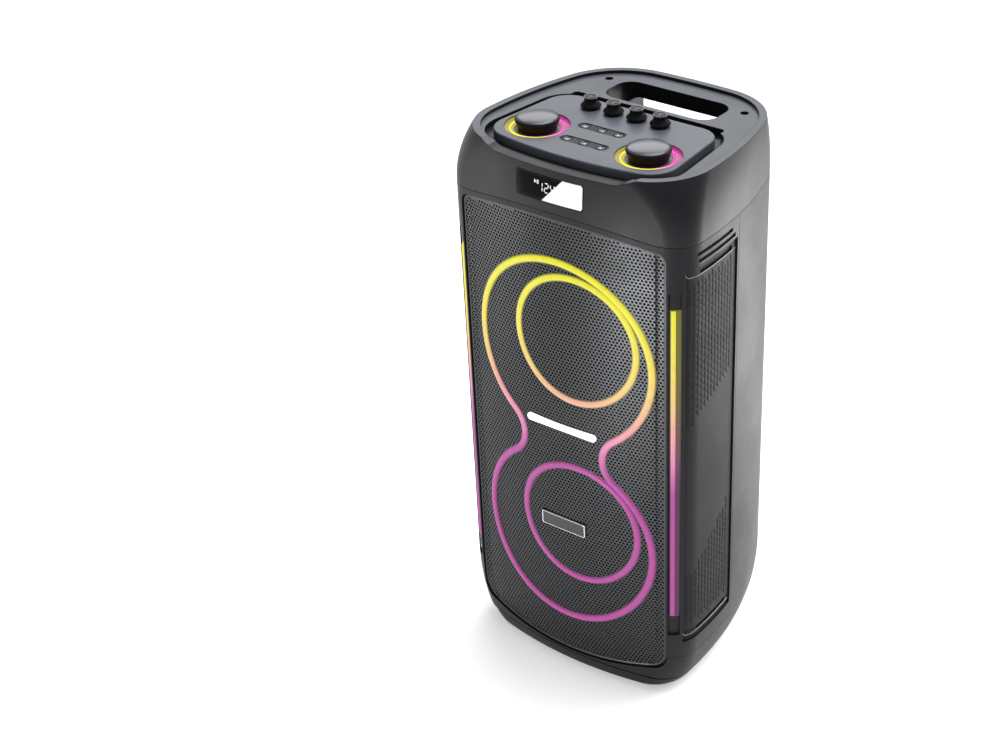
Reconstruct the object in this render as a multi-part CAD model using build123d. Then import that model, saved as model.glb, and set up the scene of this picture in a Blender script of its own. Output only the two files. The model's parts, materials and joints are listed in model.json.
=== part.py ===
from build123d import *
import math
import os

# A tall, free-standing party speaker with two woofers, light loops on the front grille,
# light bars on the front corners and a control deck with a carrying handle on top.
# Millimetres. +Z up, front faces -Y, origin on the floor at the centre of the footprint.

# ---------------------------------------------------------------- overall form
HALF_WIDTH = 165.0        # widest half width of the plan
FRONT_Y = -146.0          # foremost point of the plan
BACK_Y = 149.0            # rearmost point of the plan
FRONT_BOW = 500.0         # radius of the bowed front
SIDE_BOW = 500.0          # radius of the bowed sides
BACK_BOW = 900.0          # radius of the nearly flat back
SIDE_CREST_Y = -80.0      # where the sides are widest
FRONT_CORNER = 37.0       # corner radius, front
BACK_CORNER = 85.0        # corner radius, back
RIM_CREST_SHIFT = 24.0    # the widest point is this much further back at the rim
RIM_CORNERS = (76.0, 91.0)        # front and back corner radius at the rim
FLOOR_CORNERS = (50.0, 85.0)      # front and back corner radius at the floor
HEIGHT = 685.0            # top of the rim
CAP_Z = 616.0             # seam under the top cap
BASE_Z = 60.0             # seam over the base moulding
ROUND_Z = 104.0           # the sides start to round in below this height
FLOOR_INSET = (32.0, 11.0, 45.0)  # how far the foot is inside the plan: sides, front, back
RIM_INSET = (12.0, 5.0, 3.5)      # how far the rim is inside the plan: sides, front, back
FOOT_LEVELS = (3.0, 10.0, 20.0, 35.0, 55.0, 78.0, ROUND_Z)     # heights of the base's sections
CAP_LEVELS = (CAP_Z, 638.0, 662.0, HEIGHT)                      # heights of the cap's sections
WALL = 4.0                # moulded wall thickness
SPLIT_Y = -10.0           # vertical seam between front frame and rear shell
GAP = 0.4                 # visible parting gap between mouldings
BIG = 400.0               # larger than the object, for cutting blocks

# ---------------------------------------------------------------- front
GRILLE_HALF = 141.0       # half width of the grille
GRILLE_BOTTOM = (44.0, 24.0)      # height of its lower edge at the corner and at the middle
GRILLE_TOP = (606.0, 621.0)       # height of its upper edge at the corner and at the middle
GRILLE_CORNERS = (20.0, 11.0)     # its lower and upper corner radius
GRILLE_DEPTH = 3.0        # the grille lies this far behind the frame's face
GRILLE_SHEET = 1.5        # sheet thickness
LIP_HALF = 147.0          # half width of the arch in the cap's lower front edge
LIP_TOP = (612.0, 628.0)  # height of that arch at its ends and at the middle
LEDGE = 7.0               # width of the ledge that carries the grille
LEDGE_BACK = 8.0          # depth of the ledge's rear face behind the plan
TUBE = 3.5                # half width of a light tube
TUBE_PROUD = 0.3          # the tubes' face lies this far inside the plan
LOOP_X = 5.0              # centre of the light loops
LOOP_Z = (200.0, 449.0)   # centres of the lower and upper circle of the outer loop
LOOP_R = 118.5            # radius of both circles, on the tube's centre line
WAIST_HALF = 56.0         # half width of the outer loop's waist
RING_R = 79.0             # radius of the inner rings
RING_SHIFT = (21.0, 23.5)         # the inner rings sit this far right of and above the circles
STROBE_SIZE = (98.0, 9.0)
STROBE_Z = 352.0
BADGE_SIZE = (65.0, 20.0)
BADGE_Z = 216.0
BAR_X = (144.4, 153.4)    # light bar in the corner channel
BAR_Z = (125.0, 539.0)
CHANNEL_X = (143.0, 155.0)
CHANNEL_Z = (97.0, 561.0)
INSERT_Y = (-113.0, -14.0)        # recessed side panel
INSERT_Z = (84.0, 590.0)
INSERT_DEPTH = 2.5
INSERT_SHEET = 3.0
FINGER_SLOT_Y = (-92.0, -24.0)    # dark slots across the side panel
FINGER_SLOT_Z = ((92.0, 99.0), (577.0, 584.0))
FINGER_SLOT_DEPTH = 2.0
GROOVES = (((-100.0, -27.0), (602.0, 606.5)), ((-98.0, -20.0), (593.5, 598.0)))   # over the side panel: Y, Z
GROOVE_DEPTH = 2.2
DISPLAY_SIZE = (91.0, 30.0)
DISPLAY_Z = 654.0

# ---------------------------------------------------------------- top deck
RIM_WIDTH = 9.0
DECK_Z = 681.0            # deck behind the control panel
GUTTER_Z = 674.0          # channel round the control panel
GUTTER_WIDTH = 10.0
CAVITY_TOP = 668.0        # inside of the cap ends here
PANEL_TOP = 684.0
PANEL_LEDGE = 5.0         # width of the ledge that carries the control panel
SCOOP_HALF = (84.0, 112.0)        # half width of the dip in the front rim, bottom and top
SCOOP_Z = 677.0
SCOOP_BEND_R = 22.0
PANEL_HALF = (124.0, 110.0)       # half width of the control panel, front and rear
PANEL_Y = (-118.0, 32.0)
PANEL_CORNERS = (34.0, 30.0)      # its front and rear corner radius
PANEL_SHEET = 3.0
HANDLE_HALF = 76.0
HANDLE_Y = (54.0, 110.0)
HANDLE_FLOOR = 606.0
HANDLE_WINDOW_TOP = 662.0
HANDLE_CORNER = 20.0
HANDLE_WALL = (6.0, 4.0)  # side walls and floor of the hand space
SLOT_Y = (33.0, 41.0, 46.4)       # tablet slot: wide end, narrow middle, rear edge
SLOT_HALF = (64.0, 88.0, 104.0)   # where it starts to widen, where it is wide, its ends
SLOT_CORNER = 5.0
SLOT_FLOOR = 672.0
CAP_SCREW = (95.0, 100.0)
SCREW_HOLE_R = 5.0
SCREW_HEAD_R = 3.6
KNOB_X = 76.0
KNOB_Y = -64.0
WELL_R = 37.5
WELL_FLOOR = 679.0
KNOB_R = 25.5             # cap of a large knob
KNOB_NECK_R = 20.5
KNOB_TOP = 696.5
KNOB_SIDE = 8.0           # height of its cap
KNOB_LIGHT_R = (28.5, 32.5)
KNOB_LIGHT_HEIGHT = 2.5
STEM_R = 3.0
STEM_CLEARANCE = 0.05     # running fit of a knob's stem in its bush
SMALL_X = (-55.0, -23.0, 9.0, 41.0)
SMALL_Y = 9.0
SMALL_TOP = 698.0
SMALL_R = (10.5, 12.0, 8.0)       # foot, skirt and crown of a small knob
SMALL_RISE = (3.0, 9.0)   # height of the skirt's edge and of the crown's foot
CROSS_HALF = (4.5, 0.8)   # recess in its crown, half length and half width
CROSS_DEPTH = 1.5
BUTTON_PITCH = 23.0
BUTTON_ROWS = ((-6.0, -37.0), (-2.0, -76.0))      # centre of each row
BUTTON_R = 5.5
BUTTON_CLEARANCE = 0.5
STRIP_SIZE = (64.0, 15.0)
STRIP_DEPTH = 1.5
BOARD_Z = 662.0           # top of the control board

# ---------------------------------------------------------------- inside and back
BAFFLE_Y = (-112.0, -100.0)
WOOFER_Z = (200.0, 449.0)
WOOFER_FLANGE_R = 104.0
WOOFER_HOLE_R = 93.0
CONE_R = 80.0
CONE_NECK_R = 24.0
CONE_DEPTH = 38.0
CONE_SHEET = 1.4
DUST_CAP = (22.0, 26.0)   # depth of the dust cap at its middle and at its bend
DUST_BEND_R = 14.0
FLANGE = 3.0              # thickness of the basket's flange
BASKET_R = (90.0, 58.0)   # outside of the basket at its front and at the magnet
BASKET_DEPTH = 62.0
BASKET_WINDOW = 34.0      # width of the openings between the basket's legs
MAGNET_R = 52.0
MAGNET_DEPTH = 26.0
SURROUND_R = (80.8, 98.0)         # inside and outside of the surround's roll
SURROUND_ROLL = 7.0
SURROUND_SHEET = 1.2
PLATE_SIZE = (160.0, 120.0)
PLATE_Z = 430.0
PLATE_Y = (136.0, 139.0)
WINDOW_SIZE = (148.0, 108.0)
PLATE_SCREW = (66.0, 46.0)        # the plate's screws from its centre, in X and Z
JACK_BORE_R = 3.25
JACK_LENGTH = 30.0
AUX_BORE_R = 1.8
AUX_LENGTH = 15.0
MIC_JACKS = ((8.0, 455.0), (46.0, 455.0))
AUX_JACK = (8.0, 412.0)
INLET = (-46.0, 452.0)
ROCKER = (-46.0, 408.0)
ROCKER_TILT = 8.0
PIVOT_R = 1.0
PIVOT_CLEARANCE = 0.05    # running fit of the rocker's pivot
AMPLIFIER_HALF = (65.0, 55.0)
AMPLIFIER_Y = 96.0
FINS = 8
FIN_PITCH = 8.0
FIN_DEPTH = 22.0
BATTERY_HALF = 80.0
BATTERY_Y = (10.0, 86.0)
BATTERY_HEIGHT = 72.0
PORT_Z = 170.0
PORT_R = (27.0, 30.0)
PORT_LENGTH = 120.0
FOOT_R = 16.0
FOOT_X = 95.0
FOOT_Y = (-95.0, 72.0)
FOOT_HEIGHT = 4.0
PLINTH_TOP = 18.0
BASE_BOTTOM = 22.0
FLOOR_SHEET = 5.0         # thickness of the base moulding's floor


# ---------------------------------------------------------------- helpers
def block(x, y, z):
    """Box between pairs of limits."""
    size = (x[1] - x[0], y[1] - y[0], z[1] - z[0])
    centre = ((x[0] + x[1]) / 2, (y[0] + y[1]) / 2, (z[0] + z[1]) / 2)
    return Pos(*centre) * Box(*size)


def rod(radius, bottom, top, x=0.0, y=0.0):
    """Vertical cylinder between two heights."""
    return Pos(x, y, (bottom + top) / 2) * Cylinder(radius, top - bottom)


def section(insets=(0.0, 0.0, 0.0), corners=(FRONT_CORNER, BACK_CORNER), crest=SIDE_CREST_Y, wall=0.0):
    """Plan outline, pulled in by the insets (sides, front, back) and then offset by wall."""
    side, front, back = insets
    side_centre = HALF_WIDTH - side - SIDE_BOW
    face = Pos(0, FRONT_Y + front + FRONT_BOW) * Circle(FRONT_BOW - wall)
    face &= Pos(0, BACK_Y - back - BACK_BOW) * Circle(BACK_BOW - wall)
    face &= Pos(side_centre, crest) * Circle(SIDE_BOW - wall)
    face &= Pos(-side_centre, crest) * Circle(SIDE_BOW - wall)
    face = fillet(face.vertices().sort_by(Axis.Y)[:2], corners[0] - wall)
    return fillet(face.vertices().sort_by(Axis.Y)[-2:], corners[1] - wall)


def blended_section(z, share, end_insets, end_corners, crest_shift, wall):
    """Outline at a height, a share of the way from the straight body to an end of it."""
    insets = [share * inset for inset in end_insets]
    front = FRONT_CORNER + share * (end_corners[0] - FRONT_CORNER)
    back = BACK_CORNER + share * (end_corners[1] - BACK_CORNER)
    return Pos(0, 0, z) * section(insets, (front, back), SIDE_CREST_Y + share * crest_shift, wall)


def foot_section(z, wall):
    """Outline where the base rounds in, a quarter ellipse in height."""
    share = 1 - math.sqrt(1 - ((ROUND_Z - z) / ROUND_Z) ** 2)
    return blended_section(z, share, FLOOR_INSET, FLOOR_CORNERS, 0.0, wall)


def cap_section(z, wall):
    """Outline of the cap, which leans in to the rim along a parabola."""
    share = ((z - CAP_Z) / (HEIGHT - CAP_Z)) ** 2
    return blended_section(z, share, RIM_INSET, RIM_CORNERS, RIM_CREST_SHIFT, wall)


def foot_form(wall=0.0):
    return loft([foot_section(z, wall) for z in FOOT_LEVELS])


def middle_form(wall=0.0):
    return extrude(Pos(0, 0, ROUND_Z) * section(wall=wall), CAP_Z - ROUND_Z)


def cap_form(wall=0.0):
    return loft([cap_section(z, wall) for z in CAP_LEVELS])


def band(outer, inner):
    """Shell between two offsets of the body, rounded in at the foot and straight over the cap's seam."""
    ring = Pos(0, 0, ROUND_Z) * (section(wall=outer) - section(wall=inner))
    return extrude(ring, LIP_TOP[1] + 10 - ROUND_Z) + (foot_form(outer) - foot_form(inner))


def facing(face):
    """Solid in front of the Y = 0 plane from a face drawn in X and Z."""
    return extrude(Plane.XZ * face, BIG / 2)


def arched(half, low, high, corner_low, corner_high):
    """Face in X and Z with bowed lower and upper edges; each is (corner, middle) height."""
    outline = Line((half, low[0]), (half, high[0]))
    outline += ThreePointArc((half, high[0]), (0, high[1]), (-half, high[0]))
    outline += Line((-half, high[0]), (-half, low[0]))
    outline += ThreePointArc((-half, low[0]), (0, low[1]), (half, low[0]))
    face = make_face(outline)
    face = fillet(face.vertices().sort_by(Axis.Y)[:2], corner_low)
    return fillet(face.vertices().sort_by(Axis.Y)[-2:], corner_high)


def grille_face(grow=0.0):
    """Outline of the grille, grown or shrunk."""
    low = (GRILLE_BOTTOM[0] - grow, GRILLE_BOTTOM[1] - grow)
    high = (GRILLE_TOP[0] + grow, GRILLE_TOP[1] + grow)
    return arched(GRILLE_HALF + grow, low, high, GRILLE_CORNERS[0] + grow, GRILLE_CORNERS[1] + grow)


def lip_region(grow=0.0):
    """The part of the front over the seam height that belongs to the front frame."""
    half = LIP_HALF + grow
    outline = ThreePointArc((half, CAP_Z - 4 + grow), (0, LIP_TOP[1] + grow), (-half, CAP_Z - 4 + grow))
    outline += Line((-half, CAP_Z - 4 + grow), (half, CAP_Z - 4 + grow))
    return facing(make_face(outline)) & block((-BIG, BIG), (-BIG, -60), (0, BIG * 2))


def loop_face(grow):
    """Figure eight: two circles joined by a waist with concave sides."""
    lower, upper = LOOP_Z
    middle = (lower + upper) / 2
    rise = (upper - lower) / 2
    blend = (WAIST_HALF ** 2 + rise ** 2 - LOOP_R ** 2) / (2 * (LOOP_R - WAIST_HALF))
    reach = WAIST_HALF + blend
    share = LOOP_R / (LOOP_R + blend)
    touch_x = share * reach
    touch_z = rise - share * rise
    waist = Pos(LOOP_X, middle) * Rectangle(2 * touch_x, 2 * touch_z)
    for side in (-1, 1):
        waist -= Pos(LOOP_X + side * reach, middle) * Circle(blend - grow)
    face = Pos(LOOP_X, lower) * Circle(LOOP_R + grow)
    face += Pos(LOOP_X, upper) * Circle(LOOP_R + grow)
    return face + waist


def pill(width, height):
    return SlotOverall(width, height)


# ---------------------------------------------------------------- enclosure
def front_frame(middle, foot, cap):
    """Front moulding: bezel round the grille and the two side wings up to the seam."""
    skin = middle + foot + cap
    region = block((-BIG, BIG), (-BIG, SPLIT_Y - GAP / 2), (BASE_Z, CAP_Z - GAP / 2))
    frame = skin & (region + lip_region(-GAP / 2))
    frame -= facing(grille_face())
    frame += grille_ledge()
    for side in (-1, 1):
        rib = corner_band(side, (CHANNEL_X[0] - 0.5, BIG), (BASE_Z, CAP_Z - 10), WALL - 0.1, LEDGE_BACK)
        frame += rib & block((-BIG, BIG), (-BIG, INSERT_Y[0]), (0, BIG * 2))
        frame -= side_band(side, INSERT_Y, INSERT_Z, -1, WALL + 1)
        frame -= corner_band(side, CHANNEL_X, CHANNEL_Z, -1, GRILLE_DEPTH)
        for y, z in GROOVES:
            frame -= side_band(side, y, z, -1, GROOVE_DEPTH)
    return frame


def grille_ledge():
    """Ledge behind the edge of the grille, with the step that joins it to the frame."""
    rest = facing(grille_face(2.0)) - facing(grille_face(-LEDGE))
    rest &= band(GRILLE_DEPTH + GRILLE_SHEET, LEDGE_BACK)
    step = facing(grille_face(2.0)) - facing(grille_face())
    step &= band(GRILLE_DEPTH, LEDGE_BACK)
    return (rest + step) & block((-BIG, BIG), (-BIG, 0), (BASE_Z, BIG * 2))


def side_band(side, y, z, outer, inner):
    """Piece of the body's skin on one side, between two offsets."""
    x = (100.0, BIG) if side > 0 else (-BIG, -100.0)
    return band(outer, inner) & block(x, y, z)


def corner_band(side, x, z, outer, inner):
    """Piece of the body's skin on one front corner, between two offsets."""
    limits = x if side > 0 else (-x[1], -x[0])
    return band(outer, inner) & block(limits, (-BIG, -100.0), z)


def rear_shell(middle, foot):
    """Back half of the cabinet, open for the connector plate, the bass port and the hand space."""
    region = block((-BIG, BIG), (SPLIT_Y + GAP / 2, BIG), (BASE_Z, CAP_Z - GAP / 2))
    shell = (middle + foot) & region
    window = Pos(0, PLATE_Z) * RectangleRounded(*WINDOW_SIZE, 8)
    shell -= Pos(0, BIG / 2, 0) * facing(window)
    port = Pos(0, PORT_Z) * Circle(PORT_R[1] + 0.2)
    return shell - Pos(0, BIG / 2, 0) * facing(port) - handle_window()


def side_insert(side):
    """Recessed side panel with a finger slot at its top and bottom."""
    y = (INSERT_Y[0] + GAP, INSERT_Y[1] - GAP)
    z = (INSERT_Z[0] + GAP, INSERT_Z[1] - GAP)
    panel = side_band(side, y, z, INSERT_DEPTH, INSERT_DEPTH + INSERT_SHEET)
    for z in FINGER_SLOT_Z:
        panel -= side_band(side, FINGER_SLOT_Y, z, 0, INSERT_DEPTH + FINGER_SLOT_DEPTH)
    return panel


def base_moulding():
    """Tray under the cabinet: floor and rounded skirt, open where the grille dips into it."""
    region = block((-BIG, BIG), (-BIG, BIG), (BASE_BOTTOM, BASE_Z - GAP))
    tray = foot_form() & region
    tray -= foot_form(WALL) & block((-BIG, BIG), (-BIG, BIG), (BASE_BOTTOM + FLOOR_SHEET, BASE_Z))
    front = facing(grille_face(0.3)) & block((-BIG, BIG), (-BIG, -110), (0, BIG))
    return tray - front


def foot_plinth():
    """Ring that the cabinet stands on, set off from the base by a shadow gap."""
    ring = foot_form(2.0) & block((-BIG, BIG), (-BIG, BIG), (FOOT_HEIGHT, PLINTH_TOP))
    neck = foot_form(8.0) & block((-BIG, BIG), (-BIG, BIG), (PLINTH_TOP - 1, BASE_BOTTOM))
    plinth = ring + neck
    plinth -= foot_form(14.0) & block((-BIG, BIG), (-BIG, BIG), (FOOT_HEIGHT + 6, BIG))
    return plinth


def foot(x, y):
    pad = rod(FOOT_R, 0, FOOT_HEIGHT, x, y)
    return chamfer(pad.edges().sort_by(Axis.Z)[0], 0.8)


def top_cap(cap, cap_inner):
    """Top moulding: leaning skin, rim, deck with gutter, carrying handle and tablet slot."""
    form = cap & block((-BIG, BIG), (-BIG, BIG), (CAP_Z + GAP / 2, HEIGHT + 1))
    shell = form - (cap_inner & block((-BIG, BIG), (-BIG, BIG), (CAP_Z, CAVITY_TOP)))
    shell += handle_tub(form)
    inside_rim = extrude(Pos(0, 0, GUTTER_Z - HEIGHT) * cap_section(HEIGHT, RIM_WIDTH), BIG)
    shell -= inside_rim & block((-BIG, BIG), (-BIG, BIG), (DECK_Z, BIG * 3))
    shell -= inside_rim & extrude(Pos(0, 0, GUTTER_Z) * panel_face(-GUTTER_WIDTH), BIG)
    shell -= front_scoop()
    shell -= extrude(Pos(0, 0, GUTTER_Z) * panel_face(-0.2), BIG)
    shell -= extrude(Pos(0, 0, CAP_Z) * panel_face(PANEL_LEDGE), BIG)
    shell -= handle_opening()
    shell -= extrude(Pos(0, 0, SLOT_FLOOR) * slot_face(), BIG)
    for side in (-1, 1):
        shell -= rod(SCREW_HOLE_R, DECK_Z - 8, HEIGHT + 5, side * CAP_SCREW[0], CAP_SCREW[1])
    shell -= lip_region(GAP / 2)
    display = Pos(0, DISPLAY_Z) * RectangleRounded(DISPLAY_SIZE[0], DISPLAY_SIZE[1], 2)
    return shell - facing(display)


def handle_tub(form):
    """Walls and floor of the hand space; under the seam they stay inside the rear shell."""
    half = HANDLE_HALF + HANDLE_WALL[0]
    low = HANDLE_FLOOR - HANDLE_WALL[1]
    inside = extrude(Pos(0, 0, low) * section(wall=WALL + GAP), CAP_Z + WALL - low)
    return (form + inside) & block((-half, half), (HANDLE_Y[0] - HANDLE_WALL[0], BIG), (low, CAVITY_TOP + 2))


def front_scoop():
    """Dip in the front of the rim."""
    top = HEIGHT + 3
    low, high = SCOOP_HALF
    face = make_face(Polyline((high, top), (low, SCOOP_Z), (-low, SCOOP_Z), (-high, top), close=True))
    face = fillet(face.vertices().sort_by(Axis.Y)[:2], SCOOP_BEND_R)
    return facing(face) & block((-BIG, BIG), (-BIG, -112), (0, BIG * 2))


def handle_opening():
    """Hand space: down through the deck and out through the back, under the bar."""
    width = 2 * HANDLE_HALF
    depth = HANDLE_Y[1] - HANDLE_Y[0]
    middle = (HANDLE_Y[0] + HANDLE_Y[1]) / 2
    well = extrude(Pos(0, middle, HANDLE_FLOOR) * RectangleRounded(width, depth, HANDLE_CORNER), BIG)
    return well + handle_window()


def handle_window():
    """Opening in the back, under the carrying bar."""
    height = HANDLE_WINDOW_TOP - HANDLE_FLOOR
    window = Pos(0, HANDLE_FLOOR + height / 2) * RectangleRounded(2 * HANDLE_HALF, height, HANDLE_CORNER)
    return Pos(0, BIG / 2, 0) * facing(window) & block((-BIG, BIG), (HANDLE_Y[1] - 25, BIG), (0, BIG * 2))


def slot_face():
    """Tablet slot: narrow in the middle, with a wide end on each side."""
    near, middle, rear = SLOT_Y
    narrow, wide, end = SLOT_HALF
    points = [(end, rear), (end, near), (wide, near), (narrow, middle)]
    outline = points + [(-x, y) for x, y in reversed(points)]
    face = make_face(Polyline(*outline, close=True))
    ends = [v for v in face.vertices() if abs(v.X) > narrow + 1]
    return fillet(ends, SLOT_CORNER)


def panel_face(shrink=0.0):
    """Control panel outline: bowed front, sides that draw in towards the rear."""
    front, rear = PANEL_HALF
    near, far = PANEL_Y
    outline = Polyline((rear, far), (front, near), (-front, near), (-rear, far), close=True)
    face = make_face(outline) & Pos(0, near + FRONT_BOW) * Circle(FRONT_BOW)
    face = fillet(face.vertices().sort_by(Axis.Y)[:2], PANEL_CORNERS[0])
    face = fillet(face.vertices().sort_by(Axis.Y)[-2:], PANEL_CORNERS[1])
    return offset(face, -shrink) if shrink else face


def control_panel():
    """Raised panel with wells for the large knobs and strips for the buttons."""
    panel = extrude(Pos(0, 0, GUTTER_Z) * panel_face(), PANEL_TOP - GUTTER_Z)
    panel = fillet(panel.faces().sort_by(Axis.Z)[-1].edges(), 1.5)
    panel -= extrude(Pos(0, 0, GUTTER_Z) * panel_face(PANEL_SHEET), WELL_FLOOR - PANEL_SHEET - GUTTER_Z)
    for side in (-1, 1):
        panel -= rod(WELL_R, WELL_FLOOR, HEIGHT, side * KNOB_X, KNOB_Y)
        panel -= rod(STEM_R + 1, 0, HEIGHT, side * KNOB_X, KNOB_Y)
    for x in SMALL_X:
        panel -= rod(STEM_R + 1, 0, HEIGHT, x, SMALL_Y)
    for x, y in BUTTON_ROWS:
        strip = Pos(x, y, PANEL_TOP - STRIP_DEPTH) * pill(*STRIP_SIZE)
        panel -= extrude(strip, BIG)
    for x, y in button_places():
        panel -= rod(BUTTON_R + BUTTON_CLEARANCE, 0, HEIGHT, x, y)
    return panel


def button_places():
    return [(x + BUTTON_PITCH * step, y) for x, y in BUTTON_ROWS for step in (-1, 0, 1)]


# ---------------------------------------------------------------- front pieces
def on_front(face, outer, inner):
    """Piece that follows the bowed front between two offsets."""
    return facing(face) & band(outer, inner) & block((-BIG, BIG), (-BIG, -60), (0, BIG * 2))


def front_grille():
    return on_front(grille_face(-0.4), GRILLE_DEPTH, GRILLE_DEPTH + GRILLE_SHEET)


def loop_light():
    return on_front(loop_face(TUBE) - loop_face(-TUBE), TUBE_PROUD, GRILLE_DEPTH)


def ring_light(z):
    place = Pos(LOOP_X + RING_SHIFT[0], z + RING_SHIFT[1])
    ring = place * Circle(RING_R + TUBE) - place * Circle(RING_R - TUBE)
    return on_front(ring, TUBE_PROUD, GRILLE_DEPTH)


def strobe_light():
    return on_front(Pos(LOOP_X, STROBE_Z) * pill(*STROBE_SIZE), TUBE_PROUD, GRILLE_DEPTH)


def badge_plate():
    plate = Pos(LOOP_X, BADGE_Z) * RectangleRounded(*BADGE_SIZE, 2)
    return on_front(plate, TUBE_PROUD, GRILLE_DEPTH)


def light_bar(side):
    return corner_band(side, BAR_X, BAR_Z, TUBE_PROUD, GRILLE_DEPTH)


def display_window(cap):
    glass = Pos(0, DISPLAY_Z) * RectangleRounded(DISPLAY_SIZE[0] - 0.6, DISPLAY_SIZE[1] - 0.6, 1.7)
    return (cap - cap_form(2.5)) & facing(glass)


def baffle_board():
    """Board behind the grille that carries both woofers."""
    board = block((-138, 138), BAFFLE_Y, (BASE_BOTTOM + 6, CAP_Z - 6))
    for z in WOOFER_Z:
        board -= facing(Pos(0, z) * Circle(WOOFER_HOLE_R))
    return board


# ---------------------------------------------------------------- knobs and buttons
def large_knob(x):
    """Mushroom knob with a stem that turns in the encoder's bush."""
    knob = rod(KNOB_R, KNOB_TOP - KNOB_SIDE, KNOB_TOP, x, KNOB_Y)
    knob = fillet(knob.edges().filter_by(GeomType.CIRCLE).sort_by(Axis.Z)[-1], 3)
    knob = fillet(knob.edges().filter_by(GeomType.CIRCLE).sort_by(Axis.Z)[0], 2)
    knob += rod(KNOB_NECK_R, WELL_FLOOR + 1, KNOB_TOP - KNOB_SIDE + 0.1, x, KNOB_Y)
    return knob + rod(STEM_R, BOARD_Z + 1, WELL_FLOOR + 1.1, x, KNOB_Y)


def knob_light(x):
    ring = rod(KNOB_LIGHT_R[1], WELL_FLOOR, WELL_FLOOR + KNOB_LIGHT_HEIGHT, x, KNOB_Y)
    return ring - rod(KNOB_LIGHT_R[0], 0, HEIGHT, x, KNOB_Y)


def small_knob(x):
    """Waisted knob: wide grip skirt low down, narrower crown with a cross recess."""
    bottom = PANEL_TOP + 0.5
    foot_r, skirt_r, crown_r = SMALL_R
    skirt = [(0, bottom), (foot_r, bottom), (skirt_r, bottom + SMALL_RISE[0])]
    crown = [(crown_r, bottom + SMALL_RISE[1]), (crown_r, SMALL_TOP), (0, SMALL_TOP)]
    knob = Pos(x, SMALL_Y, 0) * turned(skirt + crown)
    half_length, half_width = CROSS_HALF
    cross = block((-half_length, half_length), (-half_width, half_width), (SMALL_TOP - CROSS_DEPTH, BIG * 2))
    for turn in (0, 90):
        knob -= Pos(x, SMALL_Y, 0) * Rot(0, 0, turn) * cross
    return knob + rod(STEM_R, BOARD_Z + 1, bottom + 0.1, x, SMALL_Y)


def control_pot(x, y, half, top):
    """Square pot or encoder body with the bush that the knob's stem turns in."""
    body = block((x - half, x + half), (y - half, y + half), (BOARD_Z, BOARD_Z + 6))
    bush = rod(STEM_R + 2, BOARD_Z + 5.9, top, x, y)
    return body + bush - rod(STEM_R + STEM_CLEARANCE, BOARD_Z + 0.6, HEIGHT, x, y)


def push_button(x, y):
    """Domed button with a collar that keeps it under the panel."""
    top = PANEL_TOP - 0.2
    button = rod(BUTTON_R, WELL_FLOOR - 4.5, top, x, y)
    button = fillet(button.edges().filter_by(GeomType.CIRCLE).sort_by(Axis.Z)[-1], 1)
    return button + rod(2.0, BOARD_Z + 4.5, WELL_FLOOR - 4.4, x, y)


def control_board():
    """Circuit board under the panel, with a tactile switch under each button."""
    board = block((-108, 108), (-96, 26), (BOARD_Z - 1.6, BOARD_Z))
    for x, y in button_places():
        board += block((x - 3, x + 3), (y - 3, y + 3), (BOARD_Z - 0.1, BOARD_Z + 2.8))
    return board


# ---------------------------------------------------------------- woofers, built along their axis
def woofer_place(z):
    """Plane on the baffle's front face; its +Z points out of the front."""
    return Plane(origin=(0, BAFFLE_Y[0], z), x_dir=(1, 0, 0), z_dir=(0, -1, 0))


def turned(points):
    """Solid turned about the local Z axis from (radius, height) points."""
    return revolve(Plane.XZ * make_face(Polyline(*points, close=True)), Axis.Z)


def woofer_basket():
    """Flange, open basket legs and magnet of an eight inch driver."""
    front_r, rear_r = BASKET_R
    deep = -BASKET_DEPTH
    rim = [(WOOFER_FLANGE_R, FLANGE), (WOOFER_FLANGE_R, 0), (front_r, 0)]
    basket = turned(rim + [(rear_r, deep), (rear_r - FLANGE, deep), (front_r - FLANGE, FLANGE)])
    window = Pos(0, 0, deep / 2) * Box(2 * WOOFER_FLANGE_R, BASKET_WINDOW, BASKET_DEPTH - 22)
    for turn in (0, 60, 120):
        basket -= Rot(0, 0, turn) * window
    magnet = [(0, deep - MAGNET_DEPTH), (MAGNET_R, deep - MAGNET_DEPTH), (MAGNET_R, deep - 6)]
    return basket + turned(magnet + [(rear_r, deep - 6), (rear_r, deep + FLANGE), (0, deep + FLANGE)])


def woofer_cone():
    """Paper cone with its dust cap."""
    neck = CONE_NECK_R
    deep = 2 - CONE_DEPTH
    slope = [(CONE_R, 2), (CONE_R, 2 - CONE_SHEET), (neck, deep - CONE_SHEET), (neck, deep)]
    cap = [(0, -DUST_CAP[0]), (0, -DUST_CAP[0] - CONE_SHEET), (DUST_BEND_R, -DUST_CAP[1] - CONE_SHEET)]
    return turned(slope) + turned(cap + [(neck + 2, deep - 1), (neck + 5, deep + 2)])


def woofer_surround():
    """Half-roll rubber surround between cone and flange."""
    inner, outer = SURROUND_R
    low = FLANGE
    high = FLANGE + SURROUND_SHEET
    edge = outer + 3
    outline = Line((inner, low), (edge, low))
    outline += Line((edge, low), (edge, high))
    outline += Line((edge, high), (outer, high))
    outline += ThreePointArc((outer, high), ((inner + outer) / 2, high + SURROUND_ROLL), (inner, high))
    outline += Line((inner, high), (inner, low))
    return revolve(Plane.XZ * make_face(outline), Axis.Z)


# ---------------------------------------------------------------- back
def on_back(x, z):
    """Plane on the connector plate's outer face; its +Z points out of the back."""
    return Plane(origin=(x, PLATE_Y[1], z), x_dir=(-1, 0, 0), z_dir=(0, 1, 0))


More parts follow.
